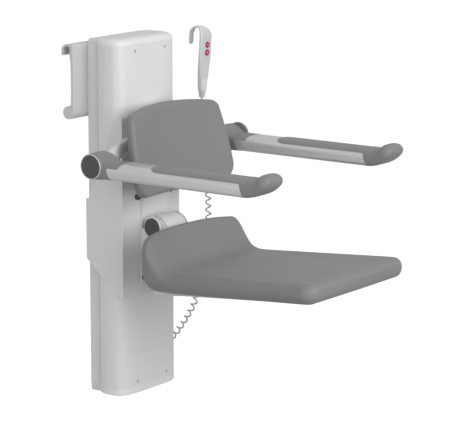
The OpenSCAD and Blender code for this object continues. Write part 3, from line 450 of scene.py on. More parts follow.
def outward(mesh):
    """Turns every closed surface of a mesh so that its faces point outwards."""
    form = bmesh.new()
    form.from_mesh(mesh)
    bmesh.ops.recalc_face_normals(form, faces=form.faces)
    form.to_mesh(mesh)
    form.free()


# Finishes


class Recipe:
    """A material under construction: one Principled shader, with textures in Object coordinates."""

    def __init__(self, name, colour, roughness, **sockets):
        """Starts a material with its plain colour, its roughness and the shader's other numbers."""
        self.material = bpy.data.materials.new(name)
        self.material.use_nodes = True
        self.tree = self.material.node_tree
        self.tree.nodes.clear()
        output = self.tree.nodes.new("ShaderNodeOutputMaterial")
        self.shader = self.tree.nodes.new("ShaderNodeBsdfPrincipled")
        self.join(self.shader.outputs["BSDF"], output.inputs["Surface"])
        self.place = self.tree.nodes.new("ShaderNodeTexCoord").outputs["Object"]
        self.colour = tuple(colour[:3]) + (1.0,)
        self.shader.inputs["Base Color"].default_value = self.colour
        self.shader.inputs["Roughness"].default_value = roughness
        self.roughness = roughness
        for socket, value in sockets.items():
            self.shader.inputs[socket.replace("_", " ")].default_value = value
        self.normal = None
        self.shade = None

    def join(self, a, b):
        """Links one socket to another."""
        self.tree.links.new(a, b)

    def node(self, kind, **settings):
        """Adds a node with the given settings."""
        made = self.tree.nodes.new(kind)
        for key, value in settings.items():
            setattr(made, key, value)
        return made

    def noise(self, scale, detail, stretch=(1.0, 1.0, 1.0)):
        """Noise whose features are about one over the scale metres across, stretched by axis."""
        mapping = self.node("ShaderNodeMapping")
        mapping.inputs["Scale"].default_value = stretch
        self.join(self.place, mapping.inputs["Vector"])
        texture = self.node("ShaderNodeTexNoise")
        texture.inputs["Scale"].default_value = scale
        texture.inputs["Detail"].default_value = detail
        self.join(mapping.outputs["Vector"], texture.inputs["Vector"])
        return texture.outputs["Fac"]

    def cells(self, scale):
        """Rounded cells, as on a moulded leather grain."""
        texture = self.node("ShaderNodeTexVoronoi", feature="SMOOTH_F1")
        texture.inputs["Scale"].default_value = scale
        texture.inputs["Smoothness"].default_value = 0.6
        self.join(self.place, texture.inputs["Vector"])
        return texture.outputs["Distance"]

    def relief(self, height, depth, strength):
        """Adds a bump of the given depth in metres under what is there already."""
        bump = self.node("ShaderNodeBump")
        bump.inputs["Strength"].default_value = strength
        bump.inputs["Distance"].default_value = depth
        self.join(height, bump.inputs["Height"])
        if self.normal is not None:
            self.join(self.normal, bump.inputs["Normal"])
        self.normal = bump.outputs["Normal"]
        self.join(self.normal, self.shader.inputs["Normal"])

    def ranged(self, value, low, high, start, end):
        """A texture's value carried from one range to another."""
        remap = self.node("ShaderNodeMapRange")
        for key, number in (("From Min", start), ("From Max", end), ("To Min", low), ("To Max", high)):
            remap.inputs[key].default_value = number
        self.join(value, remap.inputs["Value"])
        return remap.outputs["Result"]

    def uneven(self, value, spread):
        """Lets the roughness wander by the spread either way."""
        self.join(self.ranged(value, self.roughness - spread, self.roughness + spread, 0.3, 0.7),
                  self.shader.inputs["Roughness"])

    def tinted(self, value, darker, lighter=1.0):
        """Lets the colour wander between a darker and a lighter share of itself."""
        mix = self.node("ShaderNodeMix", data_type="RGBA", blend_type="MULTIPLY")
        mix.inputs["Factor"].default_value = 1.0
        sockets = {s.identifier: s for s in mix.inputs}
        sockets["A_Color"].default_value = self.colour
        shade = self.node("ShaderNodeCombineColor")
        level = self.ranged(value, darker, lighter, 0.3, 0.7)
        for channel in ("Red", "Green", "Blue"):
            self.join(level, shade.inputs[channel])
        self.join(shade.outputs["Color"], sockets["B_Color"])
        self.shade = {s.identifier: s for s in mix.outputs}["Result_Color"]
        self.join(self.shade, self.shader.inputs["Base Color"])

    def rubbed(self, width, amount, lighter):
        """Wear along edges: where the normal of a rounded copy differs, the finish is a little lighter."""
        bevel = self.node("ShaderNodeBevel", samples=4)
        bevel.inputs["Radius"].default_value = width
        geometry = self.node("ShaderNodeNewGeometry")
        dot = self.node("ShaderNodeVectorMath", operation="DOT_PRODUCT")
        self.join(bevel.outputs["Normal"], dot.inputs[0])
        self.join(geometry.outputs["Normal"], dot.inputs[1])
        edge = self.ranged(dot.outputs["Value"], amount, 0.0, 0.90, 0.995)
        mix = self.node("ShaderNodeMix", data_type="RGBA")
        sockets = {s.identifier: s for s in mix.inputs}
        self.join(edge, sockets["Factor_Float"])
        sockets["A_Color"].default_value = self.colour
        if self.shade is not None:
            self.join(self.shade, sockets["A_Color"])
        sockets["B_Color"].default_value = tuple(min(1.0, c * lighter) for c in self.colour[:3]) + (1.0,)
        result = {s.identifier: s for s in mix.outputs}["Result_Color"]
        self.join(result, self.shader.inputs["Base Color"])
        self.shade = result


def powder_coat(name, colour, roughness):
    """Baked enamel: a fine orange peel, a slow waviness and edges rubbed slightly lighter."""
    made = Recipe(name, colour, roughness, Specular_IOR_Level=0.45)
    made.relief(made.noise(420.0, 2.0), 0.00012, 0.35)
    made.relief(made.noise(22.0, 1.0), 0.0004, 0.12)
    made.uneven(made.noise(9.0, 4.0), 0.045)
    made.tinted(made.noise(5.0, 3.0), 0.975)
    made.rubbed(0.0009, 0.5, 1.1)
    return made.material


def moulded(name, colour, roughness=0.4, grain=900.0, depth=0.00006, gloss=0.0):
    """Injection-moulded plastic: a fine spark texture with a faint flow pattern in its gloss."""
    made = Recipe(name, colour, roughness, Specular_IOR_Level=0.45, Coat_Weight=gloss, Coat_Roughness=0.2)
    made.relief(made.noise(grain, 3.0), depth, 0.5)
    made.uneven(made.noise(30.0, 3.0), 0.04)
    made.tinted(made.noise(12.0, 2.0), 0.965)
    return made.material


def skinned_foam(name, colour):
    """Polyurethane foam with its own moulded skin: fine pebbled grain over a soft, slightly uneven body."""
    made = Recipe(name, colour, 0.5, Specular_IOR_Level=0.42, Sheen_Weight=0.08, Sheen_Roughness=0.5)
    made.relief(made.noise(16.0, 2.0), 0.0008, 0.10)
    made.relief(made.cells(950.0), 0.00010, 0.30)
    made.relief(made.noise(2400.0, 2.0), 0.00003, 0.25)
    made.uneven(made.noise(11.0, 4.0), 0.05)
    made.tinted(made.noise(7.0, 5.0), 0.955)
    return made.material


def anodised(name, colour, roughness=0.36, metallic=0.85):
    """Anodised extrusion: hairlines from the die along Y and a clear, slightly uneven oxide."""
    made = Recipe(name, colour, roughness, Metallic=metallic, Specular_IOR_Level=0.5)
    lines = made.noise(1500.0, 2.0, (1.0, 0.012, 1.0))
    made.relief(lines, 0.00003, 0.45)
    made.relief(made.noise(900.0, 2.0), 0.00002, 0.3)
    made.uneven(made.noise(40.0, 3.0, (1.0, 0.1, 1.0)), 0.05)
    made.tinted(lines, 0.96)
    made.rubbed(0.0006, 0.6, 1.15)
    return made.material


def ground_steel(name, colour, roughness=0.28):
    """Ground or plated steel: fine cross lines and a patchy sheen."""
    made = Recipe(name, colour, roughness, Metallic=1.0)
    made.relief(made.noise(1800.0, 2.0, (1.0, 1.0, 0.08)), 0.00002, 0.4)
    made.uneven(made.noise(60.0, 4.0), 0.07)
    made.tinted(made.noise(35.0, 4.0), 0.86)
    return made.material


def rubber(name, colour):
    """Black rubber with a dull, dusty surface."""
    made = Recipe(name, colour, 0.62, Specular_IOR_Level=0.35)
    made.relief(made.noise(1300.0, 3.0), 0.00008, 0.5)
    made.uneven(made.noise(50.0, 3.0), 0.06)
    made.tinted(made.noise(25.0, 4.0), 0.8, 1.1)
    return made.material


def turned_disc(name, colour):
    """Dark satin disc with a very fine sand texture."""
    made = Recipe(name, colour, 0.42, Specular_IOR_Level=0.5)
    made.relief(made.noise(2600.0, 2.0), 0.00004, 0.5)
    made.uneven(made.noise(70.0, 2.0), 0.04)
    made.tinted(made.noise(45.0, 3.0), 0.9, 1.05)
    return made.material


def studio_floor():
    """Plain pale floor that is lit from within just enough to read as white."""
    made = Recipe("studio floor", (0.9, 0.9, 0.9), 0.9, Specular_IOR_Level=0.1,
                  Emission_Color=(1.0, 1.0, 1.0, 1.0), Emission_Strength=FLOOR_GLOW)
    made.tinted(made.noise(0.8, 2.0), 0.995)
    return made.material


def finishes(context):
    """All finishes by name, made once from the colours in the panel."""
    if "white enamel" in bpy.data.materials:
        return {m.name: m for m in bpy.data.materials}
    tone = context.scene.shower_seat_colours
    made = [
        powder_coat("white enamel", tone.enamel, 0.34),
        powder_coat("grey enamel", tone.cover, 0.38),
        # The hanger's enamel is a darker copy of the grey enamel, darkened to stand in for the shade on the
        # hanger's web: painted shade.
        powder_coat("hanger enamel", (0.63, 0.63, 0.63), 0.38),
        moulded("cap plastic", tuple(min(1.0, 1.06 * c) for c in tone.enamel), 0.34),
        anodised("arm aluminium", tone.aluminium),
        anodised("inner aluminium", (0.62, 0.63, 0.64), 0.42),
        ground_steel("ground steel", (0.62, 0.63, 0.65)),
        ground_steel("zinc plate", (0.30, 0.31, 0.33), 0.4),
        powder_coat("drive enamel", (0.012, 0.012, 0.014), 0.45),
        moulded("box plastic", (0.010, 0.010, 0.012), 0.5),
        moulded("bush plastic", (0.69, 0.66, 0.55), 0.4),
        skinned_foam("soft grey skin", tone.upholstery),
        moulded("hub plastic", tone.hub, 0.46, 1100.0, 0.00008),
        turned_disc("disc plastic", tone.disc),
        anodised("disc ring", (0.80, 0.81, 0.82), 0.3, 0.35),
        rubber("stop rubber", (0.006, 0.006, 0.0065)),
        moulded("hand plastic", tone.hand, 0.28, 1500.0, 0.00002, 0.3),
        moulded("membrane", tone.membrane, 0.45, 1800.0, 0.00003),
        moulded("button rubber", tone.button, 0.42, 1500.0, 0.00004),
        moulded("arrow print", (0.86, 0.86, 0.86), 0.45),
        moulded("cord sheath", tone.cord, 0.4, 1600.0, 0.00002),
    ]
    return {m.name: m for m in made}


# Settings


def colour(name, description, *default):
    """A colour setting and its usual red, green and blue."""
    return FloatVectorProperty(name=name, description=description, default=default, subtype="COLOR",
                               size=3, min=0.0, max=1.0)


class SHOWERSEAT_PG_colours(bpy.types.PropertyGroup):
    """Colours of the visible finishes."""

    enamel: colour("Column", "Enamel of the column and its caps", 0.76, 0.77, 0.78)
    cover: colour("Carriage", "Enamel of the carriage cover and back housing", 0.74, 0.74, 0.74)
    aluminium: colour("Armrest profile", "Anodised aluminium of the armrests", 0.81, 0.81, 0.81)
    upholstery: colour("Upholstery", "Skin of the seat, back and arm pads", 0.236, 0.234, 0.227)
    hub: colour("Pivot covers", "Plastic of the armrests' pivot covers", 0.246, 0.243, 0.234)
    disc: colour("Discs", "Dark discs on the pivots", 0.080, 0.081, 0.083)
    hand: colour("Hand control", "Glossy plastic of the hand control", 0.76, 0.77, 0.77)
    membrane: colour("Key panel", "Panel around the hand control's buttons", 0.64, 0.665, 0.68)
    button: colour("Buttons", "Soft red of the two buttons", 0.42, 0.02, 0.04)
    cord: colour("Cord", "Sheath of the curly cord", 0.50, 0.51, 0.51)


class SHOWERSEAT_PG_sizes(bpy.types.PropertyGroup):
    """Sizes that a user may want to change."""

    edge: FloatProperty(name="Edge rounding", description="Share of the usual rounding of plain edges",
                        default=1.0, min=0.2, max=3.0, subtype="FACTOR")
    lens: FloatProperty(name="Lens", description="Focal length of the camera", default=189.92, min=20.0,
                        max=300.0, unit="CAMERA")
    floor_drop: FloatProperty(name="Floor drop", description="Height of the column's foot over the floor",
                              default=0.45, min=0.0, max=2.0, unit="LENGTH")


# Operators


class PieceOperator:
    """What every operator of this file shares."""

    bl_options = {"REGISTER", "UNDO"}

    def execute(self, context):
        """Builds the operator's pieces with the panel's colours and sizes."""
        self.build(context, finishes(context), context.scene.shower_seat_sizes)
        return {"FINISHED"}


class SHOWERSEAT_OT_camera(PieceOperator, bpy.types.Operator):
    """Adds the camera at the photograph's viewing angle"""

    bl_idname = "shower_seat.camera"
    bl_label = "Camera"

    def build(self, context, finish, sizes):
        data = bpy.data.cameras.new("camera")
        data.lens = sizes.lens
        data.sensor_width = SENSOR
        data.clip_start, data.clip_end = 0.1, 200.0
        camera = bpy.data.objects.new("camera", data)
        context.scene.collection.objects.link(camera)
        turn, dip = math.radians(CAMERA_TURN), math.radians(CAMERA_DIP)
        ahead = Vector((math.sin(turn) * math.cos(dip), math.cos(turn) * math.cos(dip), -math.sin(dip)))
        camera.location = Vector(placed(CAMERA_AT))
        camera.rotation_mode = "QUATERNION"
        camera.rotation_quaternion = ahead.to_track_quat("-Z", "Y")
        context.scene.camera = camera


def cord_line():
    """Middle line of the curly cord and, at each point, the direction away from the route. The route is
    a cubic between each two of its points, whose slope at a point is half the step from the one before
    to the one after. It is measured by its length, and the cord circles it as a helix whose radius
    grows at the start and shrinks at the end by half a cosine wave."""
    way = np.array(ROUTE, float)
    last = len(way) - 1
    u = np.linspace(0, last, 2401)
    i = np.minimum(last - 1, u.astype(int))
    t = (u - i)[:, None]
    a, b, c, d = way[np.maximum(0, i - 1)], way[i], way[i + 1], way[np.minimum(last, i + 2)]
    mids = 0.5 * (2 * b + (c - a) * t + (2 * a - 5 * b + 4 * c - d) * t ** 2
                  + (3 * b - a - 3 * c + d) * t ** 3)
    run = np.concatenate([[0], np.cumsum(np.linalg.norm(np.diff(mids, axis=0), axis=1))])
    total = run[-1]
    lead, ramp = CORD_LEAD / total, CORD_RAMP / total

    def at(w):
        """Points of the route at shares of its length."""
        return np.stack([np.interp(w * total, run, mids[:, k]) for k in range(3)], -1)

    w = np.concatenate([[0, lead / 3, 2 * lead / 3], np.linspace(lead, 1 - lead, CURLS * 20 + 1),
                        [1 - 2 * lead / 3, 1 - lead / 3, 1]])
    t = unit(at(np.minimum(1, w + 0.004)) - at(np.maximum(0, w - 0.004)))
    n = unit(np.cross(t, (0, 1, 0)))
    b = np.cross(n, t)
    turn = (2 * np.pi * CURLS * np.clip((w - lead) / (1 - 2 * lead), 0, 1))[:, None]
    reach = (CURL_D / 2 * ease((w - lead) / ramp) * ease((1 - w - lead) / ramp))[:, None]
    out = np.cos(turn) * n + np.sin(turn) * b
    return at(w) + reach * out, out


def relief_profile():
    """Strain relief: a rounded foot, then equal ribs whose radius falls evenly, a groove behind each."""
    r, pitch = RELIEF_R, (RELIEF_LEN - 4) / RELIEF_RIBS
    profile = [(0, 0), (r, 0), (r + 0.6, 0.6), (r + 0.6, 3.6), (r + 0.2, 4)]
    for k in range(RELIEF_RIBS):
        r, z = RELIEF_R + 0.4 - 2.2 * k / RELIEF_RIBS, 4 + k * pitch
        profile += [(r - 0.3, z + 0.1), (r, z + 0.5), (r - 0.3, z + pitch * 0.5), (r - 0.7, z + pitch * 0.6),
                    (r - 2.8, z + pitch * 0.64), (r - 2.8, z + pitch * 0.98)]
    return profile + [(6.0, RELIEF_LEN - 0.1), (5.4, RELIEF_LEN + 0.6), (0, RELIEF_LEN + 0.6)]


def gland_profile(inside):
    """Cord gland: a stem of the given length in the wall, then a collar that tapers to the cord."""
    end = inside + GLAND_LEN
    return [(0, 0), (6.7, 0), (6.7, inside), (8.6, inside), (9, inside + 0.4), (9, inside + 3.6),
            (8.6, inside + 4), (7.5, inside + 5), (7.5, inside + 8), (7.1, inside + 8.8), (3.9, end - 0.5),
            (3.5, end), (0, end)]


class SHOWERSEAT_OT_cord(PieceOperator, bpy.types.Operator):
    """Adds the curly cord with its strain relief and the gland it ends in"""

    bl_idname = "shower_seat.cord"
    bl_label = "Curly cord"

    def build(self, context, finish, sizes):
        line, out = cord_line()
        cord = piece("curly_cord_sheath", [tube(line, CORD_D / 2, out)], finish["cord sheath"], "column",
                     ["curly_cord"])
        ribbed = lathe(relief_profile(), (0, HAND_T / 2, 0), (0, 0, -1), 48)
        relief = piece("ribbed_strain_relief", [handed(ribbed)], finish["membrane"], "column",
                       ["strain_relief"])
        stem = HOUSE_WALL + 4
        body = lathe(gland_profile(stem), (GLAND[0] - stem, GLAND[1], GLAND[2]), (1, 0, 0), 48)
        gland = piece("cord_gland_body", [body], finish["bush plastic"], "column", ["cord_gland"])


def handed(shell):
    """Brings a surface from the hand control's own frame, where it stands upright with its front at
    y = 0, to its place: turned about X by the tilt, then moved."""
    verts, corners, sizes = shell
    c, s = math.cos(HAND_TILT), math.sin(HAND_TILT)
    x, y, z = verts.T
    return points(x, y * c - z * s, y * s + z * c) + HAND_AT, corners, sizes


def cover_arc(inset):
    """Curved plan of the front cover from its left edge to its right one: the half of an oval whose
    x and y, over their half axes and raised to the cover's power, add up to one."""
    a = np.linspace(np.pi, 2 * np.pi, COVER_STEPS + 1)
    return np.stack([(COVER_HALF - inset) * spow(np.cos(a), 2 / COVER_POWER),
                     COVER_Y + (COVER_DEPTH - inset) * spow(np.sin(a), 2 / COVER_POWER)], -1)


def cap_plan(inset, rear):
    """Plan of the caps: the cover's curve, its lips and the narrower housing behind. The curve and
    the lips draw in by the inset, and the housing by the rear one."""
    w, b, lip = HOUSE_HALF - rear, COLUMN_BACK - rear, LIP[0] - (inset + rear) / 2
    return np.concatenate([cover_arc(inset), [
        (lip, LIP[1]), (w, HOUSE_Y), (w, b - 2), (w - 2, b),
        (-w + 2, b), (-w, b - 2), (-w, HOUSE_Y), (-lip, LIP[1])]])


def cap_rings(low):
    """Top cap from its lower edge up: its plan draws in along a quarter of an oval, then shrinks to a
    point in the middle. Behind the middle the top falls with the square of the distance."""
    levels = [(cap_plan(0, 0), 0.0)]
    for a in np.radians(np.linspace(0, 90, 17)):
        levels.append((cap_plan(CAP_REACH * (1 - math.cos(a)), CAP_BACK_REACH * (1 - math.cos(a))),
                       CAP_H - CAP_ROUND * (1 - math.sin(a))))
    middle = np.array([0.0, COVER_Y + 4])
    last = levels[-1][0]
    levels += [(middle + (last - middle) * share, CAP_H) for share in CAP_SHARES]
    rings = []
    for plan, z in levels:
        back = np.clip((plan[:, 1] - middle[1]) / (COLUMN_BACK - middle[1]), 0, 1)
        rings.append(points(*plan.T, low + z - CAP_FALL * back ** 2 * z / CAP_H))
    return np.stack(rings)


def foot_rings():
    """Bottom cap from below: its plan widens along a quarter circle, then goes straight up."""
    levels = [(FOOT_ROUND * (1 - math.sin(a)), FOOT_ROUND * (1 - math.cos(a)))
              for a in np.radians((0, 20, 40, 60, 80, 90))]
    return np.stack([points(*cap_plan(inset, inset).T, z) for inset, z in levels + [(0, CAP_H)]])


def cover_outline():
    """Plan of the front cover's wall: its lips and curve outside, and the same one wall further in."""
    left, right = np.array([(-LIP[0], LIP[1])]), np.array([LIP])
    inside = np.concatenate([left + (COVER_WALL, 0), cover_arc(COVER_WALL), right - (COVER_WALL, 0)])
    return np.concatenate([left, cover_arc(0), right, inside[::-1]])


class SHOWERSEAT_OT_column(PieceOperator, bpy.types.Operator):
    """Adds the column's curved front cover, back housing, end caps and cover screws"""

    bl_idname = "shower_seat.column"
    bl_label = "Column"

    def build(self, context, finish, sizes):
        low, high = CAP_H, COLUMN_H - CAP_H
        piece("column_front_cover", [upright(cover_outline(), low, high)], finish["white enamel"], "column",
              ["front_cover"], bevel=0.5)
        w, t, b = HOUSE_HALF, HOUSE_WALL, COLUMN_BACK
        channel = [(-w, HOUSE_Y), (-w + t, HOUSE_Y), (-w + t, b - t), (w - t, b - t), (w - t, HOUSE_Y),
                   (w, HOUSE_Y), (w, b), (-w, b)]
        piece("column_back_housing", [upright(channel, low, high)], finish["grey enamel"], "column",
              ["back_housing"], bevel=0.8)
        piece("column_top_cap", [skin(cap_rings(high), "flat", "point")], finish["cap plastic"], "column",
              ["top_cap"], sharp=50)
        piece("column_bottom_cap", [skin(foot_rings())], finish["cap plastic"], "column", ["bottom_cap"],
              sharp=50)
        # The screws sit where the cover's oval has its surface at their distance from the middle
        face = COVER_Y - COVER_DEPTH * (1 - (SCREW_X / COVER_HALF) ** COVER_POWER) ** (1 / COVER_POWER)
        screws = [lathe(SCREW_HEAD, (x, face, z), (0, -1, 0), 32) for x in (-SCREW_X, SCREW_X)
                  for z in (SCREW_END, COLUMN_H - SCREW_END)]
        piece("cover_screw_heads", screws, finish["ground steel"], "column", ["cover_screws"])


def hanger_outline(y0, z0, top):
    """Side outline of the rail hanger: two quarter circles lead over its top into the hook, and a
    smaller one goes back inside it. The web is thinner over its middle and thickens above and below
    that along a quarter of an oval. The foot ends in a round bead."""
    back, tail = y0 + HANG_WEB, y0 + HANG_DEPTH
    a = np.linspace(0, np.pi / 2, 17)
    swell = np.stack([back - HANG_HOLLOW * np.cos(a), HANG_HOLLOW_HALF + HANG_HOLLOW_RUN * np.sin(a)], -1)
    middle = (0, (z0 + top) / 2)
    hook = (tail - HANG_HOOK_R, top - HANG_HOOK_R)
    bead = (y0 + HANG_BEAD, z0 + HANG_BEAD)
    meet = 90 + math.degrees(math.asin((bead[0] - back) / HANG_BEAD))
    return np.concatenate([
        arc(y0 + HANG_CORNER, top - HANG_CORNER, HANG_CORNER, 180, 90, 10),
        arc(*hook, HANG_HOOK_R, 90, 0, 18),
        [(tail, top - HANG_HOOK_DROP), (tail - HANG_HOOK_T, top - HANG_HOOK_DROP)],
        arc(*hook, HANG_HOOK_R - HANG_HOOK_T, 0, 90, 14), [(back, top - HANG_HOOK_T)],
        swell[::-1] + middle, swell * (1, -1) + middle, arc(*bead, HANG_BEAD, meet, -180, 56)])


class SHOWERSEAT_OT_hanger(PieceOperator, bpy.types.Operator):
    """Adds the extruded hanger that hooks over the wall rail"""

    bl_idname = "shower_seat.hanger"
    bl_label = "Rail hanger"

    def build(self, context, finish, sizes):
        low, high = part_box("rail_hanger")
        half, web = high.x / MM, (low.y - BACK) / MM + COLUMN_BACK
        outline = hanger_outline(web, (low.z - FOOT) / MM, (high.z - FOOT) / MM)
        # The hanger's finish is the darker enamel copy, whose extra darkness is painted shade.
        piece("rail_hanger_extrusion", [plate(outline, -half, half)], finish["hanger enamel"], "column",
              ["rail_hanger"], bevel=0.7)


def carriage_rings():
    """Carriage cover: a wall of even thickness, made of an outer and an inner face along one plan. The
    plan goes straight up the sides, round a small bend and straight over the front to the spine.
    The lower edge rises evenly to the rear. The upper edge falls over a round knee behind the
    front, then straight to the rear, where it is level."""
    front, back = SHELL_FRONT_HALF, SHELL_BACK_HALF
    side = np.stack([np.linspace(back, front, 60), np.linspace(SHELL_BACK_Y, -SHELL_EDGE_Y, 60)], -1)
    bend = np.array([(front - 0.3, -SHELL_EDGE_Y - 0.5), (front - 1.2, -SHELL_EDGE_Y - 0.9)])
    x = np.linspace(front - 3, 0, 24)
    flat = np.stack([x, np.interp(x, [SPINE_HALF + 4, front], [-SHELL_Y, -SHELL_EDGE_Y])], -1)
    half = np.concatenate([side, bend, flat])
    way = np.concatenate([half * (-1, 1), half[-2::-1]])
    along = unit(np.gradient(way, axis=0))
    inner = way + SHELL_T * np.stack([-along[:, 1], along[:, 0]], -1)
    low = np.interp(way[:, 1], [4, SHELL_BACK_Y], [SHELL_LOW, SHELL_BACK_LOW])
    knee = np.radians(np.linspace(90, 25, 12))
    slope_y = np.concatenate([[-20], KNEE_Y + KNEE_R * np.cos(knee),
                              [SHELL_BACK_Y - SHELL_LEVEL, SHELL_BACK_Y]])
    slope_z = np.concatenate([[SHELL_TOP], SHELL_TOP - KNEE_R + KNEE_R * np.sin(knee),
                              [SHELL_BACK_TOP, SHELL_BACK_TOP]])
    top = np.interp(way[:, 1], slope_y, slope_z)
    rise = low + (top - low) * np.linspace(0, 1, 9)[:, None]
    outside, inside = points(*way.T, rise), points(*inner.T, rise[::-1])
    return np.concatenate([outside, inside]).transpose(1, 0, 2)


class SHOWERSEAT_OT_carriage(PieceOperator, bpy.types.Operator):
    """Adds the carriage's wrap-round cover with its sloping sides"""

    bl_idname = "shower_seat.carriage"
    bl_label = "Carriage cover"

    def build(self, context, finish, sizes):
        piece("carriage_cover_shell", [skin(carriage_rings())], finish["grey enamel"], "carriage",
              ["carriage_cover"], bevel=0.6, corner=60)


def spine_front(z):
    """Depth of the spine's front: thin over the hinge, then an eased step out to its full depth."""
    return SHELL_Y + SPINE_THIN + (SPINE_Y - SHELL_Y - SPINE_THIN) * ease((z - CURVE_Z) / CURVE_H)


def spine_outline():
    """Side outline of the spine: straight behind, a slope at the top, and the stepped front."""
    z = np.linspace(CURVE_Z + CURVE_H, CURVE_Z, 25)
    return np.concatenate([
        [(-SHELL_Y, SPINE_FOOT), (-SHELL_Y, SPINE_TOP - SPINE_SLOPE), (-SPINE_Y, SPINE_TOP)],
        np.stack([-spine_front(z), z], -1), [(-SHELL_Y - SPINE_THIN, SPINE_FOOT)]])


def cheek_outline():
    """Side outline of a hinge cheek: an arc about the hinge that runs out straight to the spine."""
    root = 1 - SHELL_Y - SPINE_THIN
    return np.concatenate([[(root, CHEEK_LOW)], arc(-HINGE_Y, HINGE_Z, EYE_R, 210, -11, 40),
                           [(root, HINGE_Z - 6)]])


class SHOWERSEAT_OT_spine(PieceOperator, bpy.types.Operator):
    """Adds the spine bracket with its two hinge cheeks and the discs on them"""

    bl_idname = "shower_seat.spine"
    bl_label = "Spine and hinge cheeks"

    def build(self, context, finish, sizes):
        cheek, inner = cheek_outline(), SPINE_HALF - CHEEK_T
        shells = [plate(spine_outline(), -SPINE_HALF, SPINE_HALF), plate(cheek, -SPINE_HALF, -inner),
                  plate(cheek, inner, SPINE_HALF)]
        piece("spine_bracket_casting", shells, finish["white enamel"], "carriage", ["spine_bracket"],
              bevel=1.2)
        for side, word in SIDES:
            disc_pair(word + "_hinge", (side * SPINE_HALF, -HINGE_Y, HINGE_Z), (side, 0, 0), HINGE_DISC_R,
                      HINGE_RING, finish, "carriage", "hinge_caps")


def disc_pair(name, at, axis, r, ring, finish, body, node):
    """A dark, faintly domed disc of the given radius inside a thin bright ring of the given width."""
    disc = [(0, 0), (r, 0), (r, 1.3), (r - 0.3, 1.6), (r - 1.4, 1.75), (r * 0.5, 1.9), (0, 1.95)]
    piece(name + "_dark_disc", [lathe(disc, at, axis)], finish["disc plastic"], body, [node])
    rim = [(r, 0.05), (r + ring, 0.05), (r + ring, 1.5), (r + ring - 0.4, 2.0), (r + 0.45, 2.1), (r, 1.7)]
    piece(name + "_bright_ring", [hoop(rim, at, axis)], finish["disc ring"], body, [node])


def horn_rings():
    """Swept arm from the spine to the right pivot, in ovals. Their back, front and height follow the
    share of the way to the power 1.6, and so does the oval's power, down from 3.4. The half height
    grows by half a cosine wave, and the front flares out at the pivot with the share's ninth power."""
    t = np.linspace(0, 1, 49)[:, None]
    s = t ** 1.6
    back = HORN_BACK + (ARM_Y - HUB_R - HORN_BACK) * s
    front = HORN_FRONT + (ARM_Y - 8 - HORN_FRONT) * s + HORN_FLARE * t ** 9
    half = HORN_HALF + HORN_GROWTH * ease(t)
    q = 2 / (3.4 - s)
    f = around(72)
    x = SPINE_HALF + (ARM_X - ARM_HALF - 1 - SPINE_HALF) * t
    y = (front + back) / 2 - (front - back) / 2 * spow(np.cos(f), q)
    return points(x, -y, HORN_Z + (ARM_Z - HORN_Z) * s + half * spow(np.sin(f), q))


class SHOWERSEAT_OT_horns(PieceOperator, bpy.types.Operator):
    """Adds the two swept arms, which flare out at the pivots and carry the armrests' pins"""

    bl_idname = "shower_seat.horns"
    bl_label = "Armrest horns"

    def build(self, context, finish, sizes):
        horn, pin = skin(horn_rings()), [(0, 0), (PIN_R, 0), (PIN_R, PIN_LEN), (0, PIN_LEN)]
        for side, word in SIDES:
            shells = [mirrored(horn, side), lathe(pin, (side * PIN_X, -ARM_Y, ARM_Z), (side, 0, 0))]
            piece(word + "_arm_horn_casting", shells, finish["white enamel"], "carriage",
                  [word + "_arm_horn", word + "_arm_pin"], sharp=50)


def stations(start, middle, end, length):
    """Distances along a pad: a quarter of a cosine wave close to each end, given as its reach and its
    number of steps, and the middle ones as they are."""
    a, b = (np.linspace(0, np.pi / 2, steps) for steps in (start[1], end[1]))
    return np.concatenate([start[0] * (1 - np.cos(a)), middle, length - end[0] * (1 - np.sin(b))])


def pad_ring(hw, ht, r, arc_steps, long_steps):
    """Section of a flat pad in X and height: straight long sides and quarter-circle corners, as two
    arrays with a row for each pair of half width and half thickness."""
    hw, ht, r = (np.asarray(v, float)[:, None] for v in (hw, ht, r))
    c = np.minimum(r, ht - 0.1)
    a = np.radians(np.linspace(0, 90, arc_steps + 1))[None]
    k = np.linspace(1, -1, long_steps + 1)[None, 1:-1]
    w, h, cos, sin = hw - c, ht - c, c * np.cos(a), c * np.sin(a)
    x = np.concatenate([w + cos, k * w, -w - sin, -w - cos, -k * w, w + sin], 1)
    z = np.concatenate([h + sin, ht + 0 * k, h + cos, -h - sin, -ht + 0 * k, -h - cos], 1)
    return x, z


